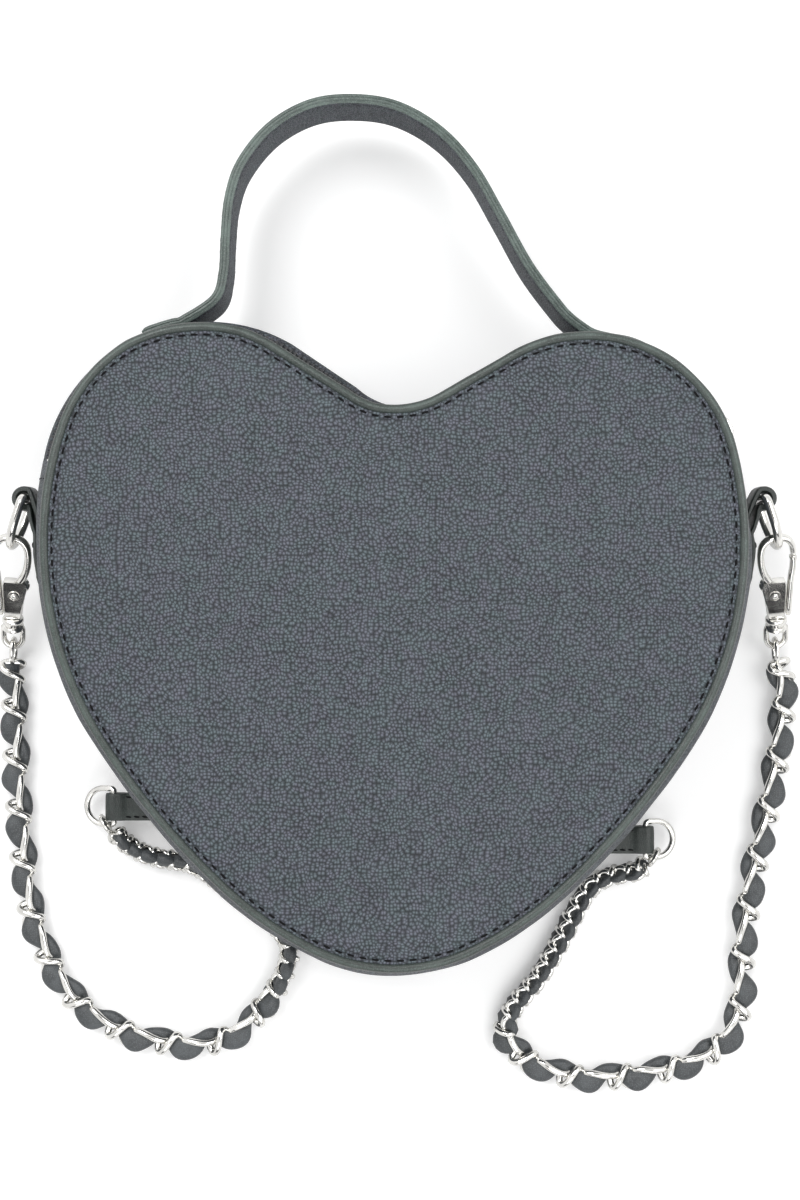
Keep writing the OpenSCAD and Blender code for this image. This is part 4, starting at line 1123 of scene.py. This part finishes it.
RIGHT_ROUTE = [
    (140.4, -15.7, 7.5), (141.6, -20.5, 6.5), (142.5, -26, 6), (142.5, -35, 5.5), (141, -49, 5.5),
    (138.5, -63, 5.5), (135.5, -77, 5.5), (132.5, -91, 5.5), (130, -105, 5.5), (128, -118, 5.5),
    (127.5, -130, 5.5), (127, -142, 5.5), (123, -153, 5.5), (113, -161, 5.5), (98, -166, 5.5),
    (80, -168.5, 5.5), (63, -167.5, 5.5), (48.5, -162, 5.5), (41, -153, 5.5), (43.5, -143, 5.5),
    (51.5, -133.5, 5.5), (57, -125, 5.5), (62, -116, 5.5), (66.3, -107.5, 5.5), (70.6, -100.2, 5.5),
    (76, -95.8, 5.5), (82, -93.8, 6), (87.3, -92.8, 6.5), (91.6, -90.4, 7.5)]
LEFT_ROUTE = [
    (-139.8, -15.7, 7.5), (-140, -20.5, 6.5), (-140, -26, 6), (-139.5, -35, 5.5), (-139, -49, 5.5),
    (-138.5, -63, 5.5), (-137.5, -77, 5.5), (-136, -92, 5.5), (-133.5, -107, 5.5), (-129, -121, 5.5),
    (-122, -134, 5.5), (-112.5, -144, 5.5), (-101, -151, 5.5), (-88, -155, 5.5), (-75, -156.5, 5.5),
    (-63, -154.5, 5.5), (-53, -148.5, 5.5), (-45, -138.5, 5.5), (-40, -129.5, 5.5), (-38.5, -121, 5.5),
    (-42, -114.5, 5.5), (-48, -109.5, 5.5), (-55.5, -103.8, 5.5), (-62.9, -97.9, 5.5),
    (-70, -92.5, 5.5), (-76.5, -89.5, 5.5), (-83.5, -88.6, 5.5), (-91, -86.8, 5.5), (-97.8, -83, 6),
    (-102.3, -78.4, 7.5)]
# The lower rings: the middle of each bar, and where each tab's foot is sewn to the bag, in x
LOW_BAR = {"left": (-102.313, -68.654, 10.0), "right": (91.567, -80.695, 10.0)}
LOW_FOOT = {"left": 80.313, "right": 69.567}
LOW_TILT, LOW_RING_W, LOW_RING_LEN, LOW_WIRE = 20.0, 10.9, 11.0, 2.2
LAST_LINK_OUT, LAST_LINK_WAY = 3.4, 60.0
LINK_HALF, LINK_GAP = 0.9, 1.2
FIRST_LINK_Y, FIRST_LINK_LONG, FIRST_LINK_WIDE = -43.9, 4.7, 3.6

# Where each strap rolls on to its edge, on the way back to the lower ring, and by how many degrees
ROLL_FROM = {"right": (41, -153), "left": (-45, -138.5)}
ROLL, BUNCH = 76.0, 1.6
# The two links of each repeat: where it lies and its half length, in pitches, then its half width,
# half height, twist in degrees and place across
LINKS = ((0.0, 0.21, 5.9, 3.3, -74, 0.0), (-0.4, 0.34, 6.4, 2.9, 11, -1.3))


def lie(route, start):
    """The route as the chain really lies, flat at first and on its edge after the start of the roll."""
    line = smooth_line(route, 1.0)
    near = np.argmin(np.hypot(line[:, 0] - start[0], line[:, 1] - start[1]))
    roll = np.interp(np.arange(len(line)), [near - 12, near + 8], [0, 1]) ** 1.5
    line[:, 2] = 4.5 + (line[:, 2] - 5.5) * 1.4 + 0.8 * roll
    return line, roll


class Course:
    """Places beside a route: along it, across it and above it."""

    def __init__(self, route, roll):
        self.line = smooth_line(route, 0.5)
        share = np.linspace(0, 1, len(self.line))
        self.roll = np.interp(share, np.linspace(0, 1, len(roll)), roll) * math.radians(ROLL)
        self.s = travelled(self.line)
        self.t = ways(self.line)
        side = np.cross(self.t, UP)
        self.side = side / np.linalg.norm(side, axis=1)[:, None]
        self.up = np.cross(self.side, self.t)
        self.length = self.s[-1]

    def pick(self, values, s):
        return np.stack([np.interp(s, self.s, values[:, k]) for k in range(3)], -1)

    def at(self, s, across, above):
        s = np.asarray(s, float)
        over = s - np.clip(s, 0, self.length)
        c, d = (f(np.interp(s, self.s, self.roll) + 0.12 * np.sin(s * 0.13)) for f in (np.cos, np.sin))
        across, above = across * c - above * d, across * d + above * c
        return self.pick(self.line, s) + over[..., None] * self.pick(self.t, s) \
            + across[..., None] * self.pick(self.side, s) + above[..., None] * self.pick(self.up, s)


def twisted_link(mid, half, wide, high, twist, across):
    """A curb link: an oval whose plane turns as it runs along the chain."""
    t = around(44)
    c, d = bent_power(np.cos(t), 0.9), bent_power(np.sin(t), 0.8)
    turn = np.radians(twist) * c
    return mid + half * c, across + wide * d * np.sin(turn), high * d * np.cos(turn)


def lace_and_links(course, flip):
    """Puffed leather woven through twisted links. flip turns the pattern to start from the other end."""
    sign = -1 if flip else 1
    s = np.linspace(0, course.length, int(course.length / 0.6))
    # the links bunch together where the chain stands on its edge
    roll = np.interp(course.length - s if flip else s, course.s, course.roll)
    u = np.concatenate([[0], np.cumsum(np.diff(s) * (1 + BUNCH * roll[1:]) / (sizes().link / MM))])
    n = int(round(u[-1]))
    u *= n / u[-1]

    def put(s, across, above):
        return course.at(course.length - s if flip else s, sign * across, above)

    form = Form()
    lobe = np.cos(2 * math.pi * (u - 0.33))
    uneven = 1 + 0.07 * np.sin(s * 0.37) + 0.05 * np.sin(s * 1.13 + 2)
    ends = np.interp(np.minimum(s, course.length - s), [0, 3.0], [0.5, 1])
    half = (3.05 + 0.85 * lobe) * uneven * ends
    # pressed down where the wires cross
    pitch = 1 / np.gradient(u, s)
    press = np.maximum(np.exp(-((u - np.round(u)) * pitch / 1.9) ** 2),
                       0.6 * np.exp(-((u - 0.6 - np.round(u - 0.6)) * pitch / 2.4) ** 2))
    edgewise = roll / max(roll.max(), 1e-6)
    thick = (2.15 + 0.25 * lobe) * (1 - 0.34 * press) * ends * (1 + 0.12 * edgewise)
    across = -0.75 + 2.35 * lobe
    above = 0.55 + 0.35 * lobe - 0.9 * press
    inner = slice(1, -1)
    path = put(s, across * ends, above)[inner]
    raised = put(s, across * ends, above + 1.0)[inner]
    sections = ring(1.0, 20, 1.0, 2.5) * np.stack([half, thick], -1)[inner, None]
    form.skin(swept(path, sections, up=raised - path))
    wire = sizes().wire / MM
    for k in range(n + 1):
        for shift, half, wide, high, twist, off in LINKS:
            mid = k + shift
            if mid < 0:
                continue
            mid = min(max(mid, 0.22), n - 0.22)
            at, long = np.interp(mid, u, s), np.interp(mid, u, pitch)
            on_edge = np.interp(at, s, edgewise)
            way, out, up = twisted_link(at, half * long, wide * (1 - 0.2 * on_edge),
                                        high * (1 - 0.1 * on_edge), twist, off)
            line = put(np.clip(way, 0.3, course.length - 0.3), out, up)
            form.skin(swept(line, ring(wire / 2 * (1 - 0.2 * on_edge), 10), up=(0.05, 0.02, 1), loop=True),
                      loop=True, kind=1)
    # what would sink into the ground is pressed flat just above it
    low = min(p[:, 2].min() for p in form.places)
    for p in form.places:
        p[:, 2] = np.where(p[:, 2] < 0.6, 0.15 + (p[:, 2] - low) * 0.45 / (0.6 - low), p[:, 2])
    return form


def link_form(centre, along, beside, matrix=None):
    """A plain wire link, by its middle and its two half axes."""
    form = Form(matrix)
    loop = [centre + along * math.cos(a) + beside * math.sin(a) for a in around(35)]
    form.skin(swept(loop, ring(LINK_HALF, 12), up=np.cross(along, beside), loop=True), loop=True)
    return form


class HEARTBAG_OT_straps(bpy.types.Operator):
    """Make the two chain straps with their woven leather, and the links at their ends"""

    bl_idname = "heart_bag.straps"
    bl_label = "Chain Straps"
    bl_options = {"REGISTER", "UNDO"}

    def execute(self, context):
        for side, route in (("right", RIGHT_ROUTE), ("left", LEFT_ROUTE)):
            left = side == "left"
            course = Course(*lie(route, ROLL_FROM[side]))
            strap = lace_and_links(course, not left).made(
                side + "_chain_strap", [finish("lace"), finish("metal")], "bag", [side + "_strap"],
                "leather_trim", crease=60)
            top = link_form(np.array([0, FIRST_LINK_Y, 0]), np.array([0, FIRST_LINK_LONG, 0]),
                            np.array([0, 0, FIRST_LINK_WIDE]), hook_place(left))
            top = top.plated(side + "_first_link", "bag", [side + "_top_link"])
            sign = -1 if left else 1
            lean, way = math.radians(LOW_TILT), math.radians(LAST_LINK_WAY)
            centre = np.array(LOW_BAR[side]) + np.array([
                sign * LAST_LINK_OUT * math.cos(lean), -(LOW_RING_W + LOW_WIRE) / 2,
                -LAST_LINK_OUT * math.sin(lean)])
            r = LOW_WIRE / 2 + LINK_HALF + LINK_GAP
            low = link_form(centre, r * np.array([sign * math.cos(way), math.sin(way), 0]), r * UP)
            low = low.plated(side + "_last_link", "bag", [side + "_bottom_link"])
        return {"FINISHED"}


class HEARTBAG_OT_lower_rings(bpy.types.Operator):
    """Make the lower tabs and the rings that hold the straps' ends"""

    bl_idname = "heart_bag.lower_rings"
    bl_label = "Lower Rings"
    bl_options = {"REGISTER", "UNDO"}

    def execute(self, context):
        for side in ("left", "right"):
            sign = -1 if side == "left" else 1
            x, y, z = LOW_BAR[side]
            bar, foot = abs(x), LOW_FOOT[side]
            form = Form(mirrored(side == "left") @ Matrix.Translation((bar, y, z))
                        @ spin(90 + LOW_TILT, "Y") @ spin(-90, "X"))
            d_ring(form, LOW_RING_W, LOW_RING_LEN, LOW_WIRE)
            form.plated(side + "_strap_ring", side + "_lower_ring_body", [side + "_lower_ring"])
            pts = [(foot + 1.0, 18.6), (foot + 0.9, 14.5), (foot + 2.6, 12.2), (foot + 6, 11.3),
                   (bar - 6, 11.2), (bar - 3, 11.9)]
            pts += [(bar + 2.3 * math.cos(a), z + 2.3 * math.sin(a))
                    for a in np.radians([115, 70, 25, -20, -65, -115])]
            pts += [(bar - 3, 8.1), (bar - 6, 8.9), (foot + 5, 9.0), (foot + 1.6, 8.6)]
            path = smooth_line([(sign * u, y, v) for u, v in pts], 0.7)
            tab = Form()
            tab.skin(swept(path, ring(0.85, 20, 5.9, 5.0), up=(0, 1, 0)))
            tab.made(side + "_strap_tab", [finish("tab")], "bag", [side + "_lower_tab"], "leather")
            seam = Form()
            for v in (-3.6, 3.6):
                line = np.array([(sign * u, y + v, 12.1) for u in np.linspace(foot + 6, bar - 4, 12)])
                stitches(seam, line, np.tile(UP, (12, 1)), *TAB_STITCH)
            seam.sewn(side + "_strap_tab_stitches")
        return {"FINISHED"}


class HEARTBAG_OT_inside(bpy.types.Operator):
    """Dress the boards, the lining and the pocket inside the bag"""

    bl_idname = "heart_bag.inside"
    bl_label = "Inside"
    bl_options = {"REGISTER", "UNDO"}

    def execute(self, context):
        for key, nodes in (("board", ("front_board", "back_board")),
                           ("lining", ("lining_band", "lining_top_band", "lining_front", "lining_back",
                                       "slip_pocket"))):
            for node in nodes:
                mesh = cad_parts[node].data
                mesh.materials.clear()
                mesh.materials.append(finish(key))
        return {"FINISHED"}


# Stage


# In metres: the camera's distance from the front panel, the height that it sees there, and its place in plan
EYE_AWAY, EYE_VIEW, EYE_AT = 0.7, 0.4, (0.002, 0.00667)
SKY_LIGHT, FLOOR_GLOW = 0.55, 0.22


class HEARTBAG_OT_stage(bpy.types.Operator):
    """Set the floor, the lamps, the cards that polished metal mirrors, and the camera"""

    bl_idname = "heart_bag.stage"
    bl_label = "Stage"
    bl_options = {"REGISTER", "UNDO"}

    def card(self, name, place, turn, width, height, colour):
        mesh = bpy.data.meshes.new(name)
        w, h = width / 2, height / 2
        mesh.from_pydata([(-w, -h, 0), (w, -h, 0), (w, h, 0), (-w, h, 0)], [], [(0, 1, 2, 3)])
        f = Finish(name)
        f.done(f.colours(f.noise(3, 2), shade(colour, 0.97), colour), f.noise(2, 1) * 0.05 + 0.85)
        mesh.materials.append(f.material)
        made = bpy.data.objects.new(name, mesh)
        made.location, made.rotation_euler = place, turn
        bpy.context.scene.collection.objects.link(made)
        return made, f

    def lamp(self, name, place, aim, size, power):
        light = bpy.data.lights.new(name, "AREA")
        light.shape, light.size, light.energy = "DISK", size, power
        made = bpy.data.objects.new(name, light)
        made.location = place
        made.rotation_euler = (Vector(aim) - Vector(place)).to_track_quat("-Z", "Y").to_euler()
        bpy.context.scene.collection.objects.link(made)

    def execute(self, context):
        scene = context.scene
        _, f = self.card("floor", (0, 0, -0.0003), (0, 0, 0), 8, 8, (0.90, 0.90, 0.90))
        seen = f.node("ShaderNodeLightPath").outputs["Is Camera Ray"]
        f.feed(f.shader.inputs["Emission Color"], f.colours(seen, (0, 0, 0), (1, 1, 1)))
        f.shader.inputs["Emission Strength"].default_value = FLOOR_GLOW
        for name, place, turn, w, h in (
                ("dark_card_above", (0, 0, 1.9), (0, 0, 0), 0.7, 0.7),
                ("dark_card_low", (0, -1.5, 0.9), (math.radians(90), 0, 0), 1.8, 0.9)):
            card, _ = self.card(name, place, turn, w, h, (0.02, 0.02, 0.022))
            card.visible_camera = card.visible_diffuse = card.visible_shadow = False
            card.visible_transmission = False
        light = scene.heart_bag_look.light
        self.lamp("key_lamp", (-0.55, 0.65, 1.35), (0, 0, 0), 0.9, light * 2.6)
        self.lamp("fill_lamp", (0.8, 0.1, 1.2), (0, 0, 0), 1.0, light * 1.5)
        self.lamp("low_lamp", (0.1, -1.0, 1.1), (0, 0, 0), 1.0, light * 1.1)
        self.sky(scene)
        self.camera(scene)
        scene.view_settings.view_transform = "Standard"
        return {"FINISHED"}

    def sky(self, scene):
        """White where the camera or polished metal sees it, and dimmer as a light."""
        scene.world = bpy.data.worlds.new("studio")
        sky = Nodes(scene.world)
        rays = sky.node("ShaderNodeLightPath").outputs
        seen = Value(sky, rays["Is Camera Ray"])
        for key in ("Is Glossy Ray", "Is Transmission Ray"):
            seen = seen.most(rays[key])
        level = sky.node("ShaderNodeMapRange", None, {"Value": seen, "To Min": SKY_LIGHT, "To Max": 1.0})
        back = sky.tree.nodes["Background"]
        sky.feed(back.inputs["Strength"], level.outputs["Result"])
        sky.feed(back.inputs["Color"], (1, 1, 1, 1))

    def camera(self, scene):
        eye = bpy.data.cameras.new("camera")
        eye.sensor_fit = "VERTICAL"
        eye.angle = 2 * math.atan(EYE_VIEW / 2 / EYE_AWAY)
        eye.clip_start, eye.clip_end = 0.01, 50
        made = bpy.data.objects.new("camera", eye)
        made.location = (*EYE_AT, DEPTH * MM + EYE_AWAY)
        scene.collection.objects.link(made)
        scene.camera = made


# Panel


STEPS = (HEARTBAG_OT_stage, HEARTBAG_OT_panels, HEARTBAG_OT_gusset, HEARTBAG_OT_zip, HEARTBAG_OT_handle,
         HEARTBAG_OT_hardware, HEARTBAG_OT_straps, HEARTBAG_OT_lower_rings, HEARTBAG_OT_inside)


class HEARTBAG_PT_panel(bpy.types.Panel):
    """Sizes, colours and steps of the bag"""

    bl_idname = "HEARTBAG_PT_panel"
    bl_label = "Heart Bag"
    bl_space_type = "VIEW_3D"
    bl_region_type = "UI"
    bl_category = "Heart Bag"

    def draw(self, context):
        for group in (context.scene.heart_bag_sizes, context.scene.heart_bag_look):
            column = self.layout.column(align=True)
            for key in group.__annotations__:
                column.prop(group, key)
        for step in STEPS:
            self.layout.operator(step.bl_idname)


CLASSES = (HeartBagSizes, HeartBagLook, *STEPS, HEARTBAG_PT_panel)


def register():
    for item in CLASSES:
        bpy.utils.register_class(item)
    bpy.types.Scene.heart_bag_sizes = PointerProperty(type=HeartBagSizes)
    bpy.types.Scene.heart_bag_look = PointerProperty(type=HeartBagLook)


def unregister():
    del bpy.types.Scene.heart_bag_look
    del bpy.types.Scene.heart_bag_sizes
    for item in reversed(CLASSES):
        bpy.utils.unregister_class(item)


def main():
    register()
    for step in STEPS:
        group, name = step.bl_idname.split(".")
        getattr(getattr(bpy.ops, group), name)()


if __name__ == "__main__":
    main()
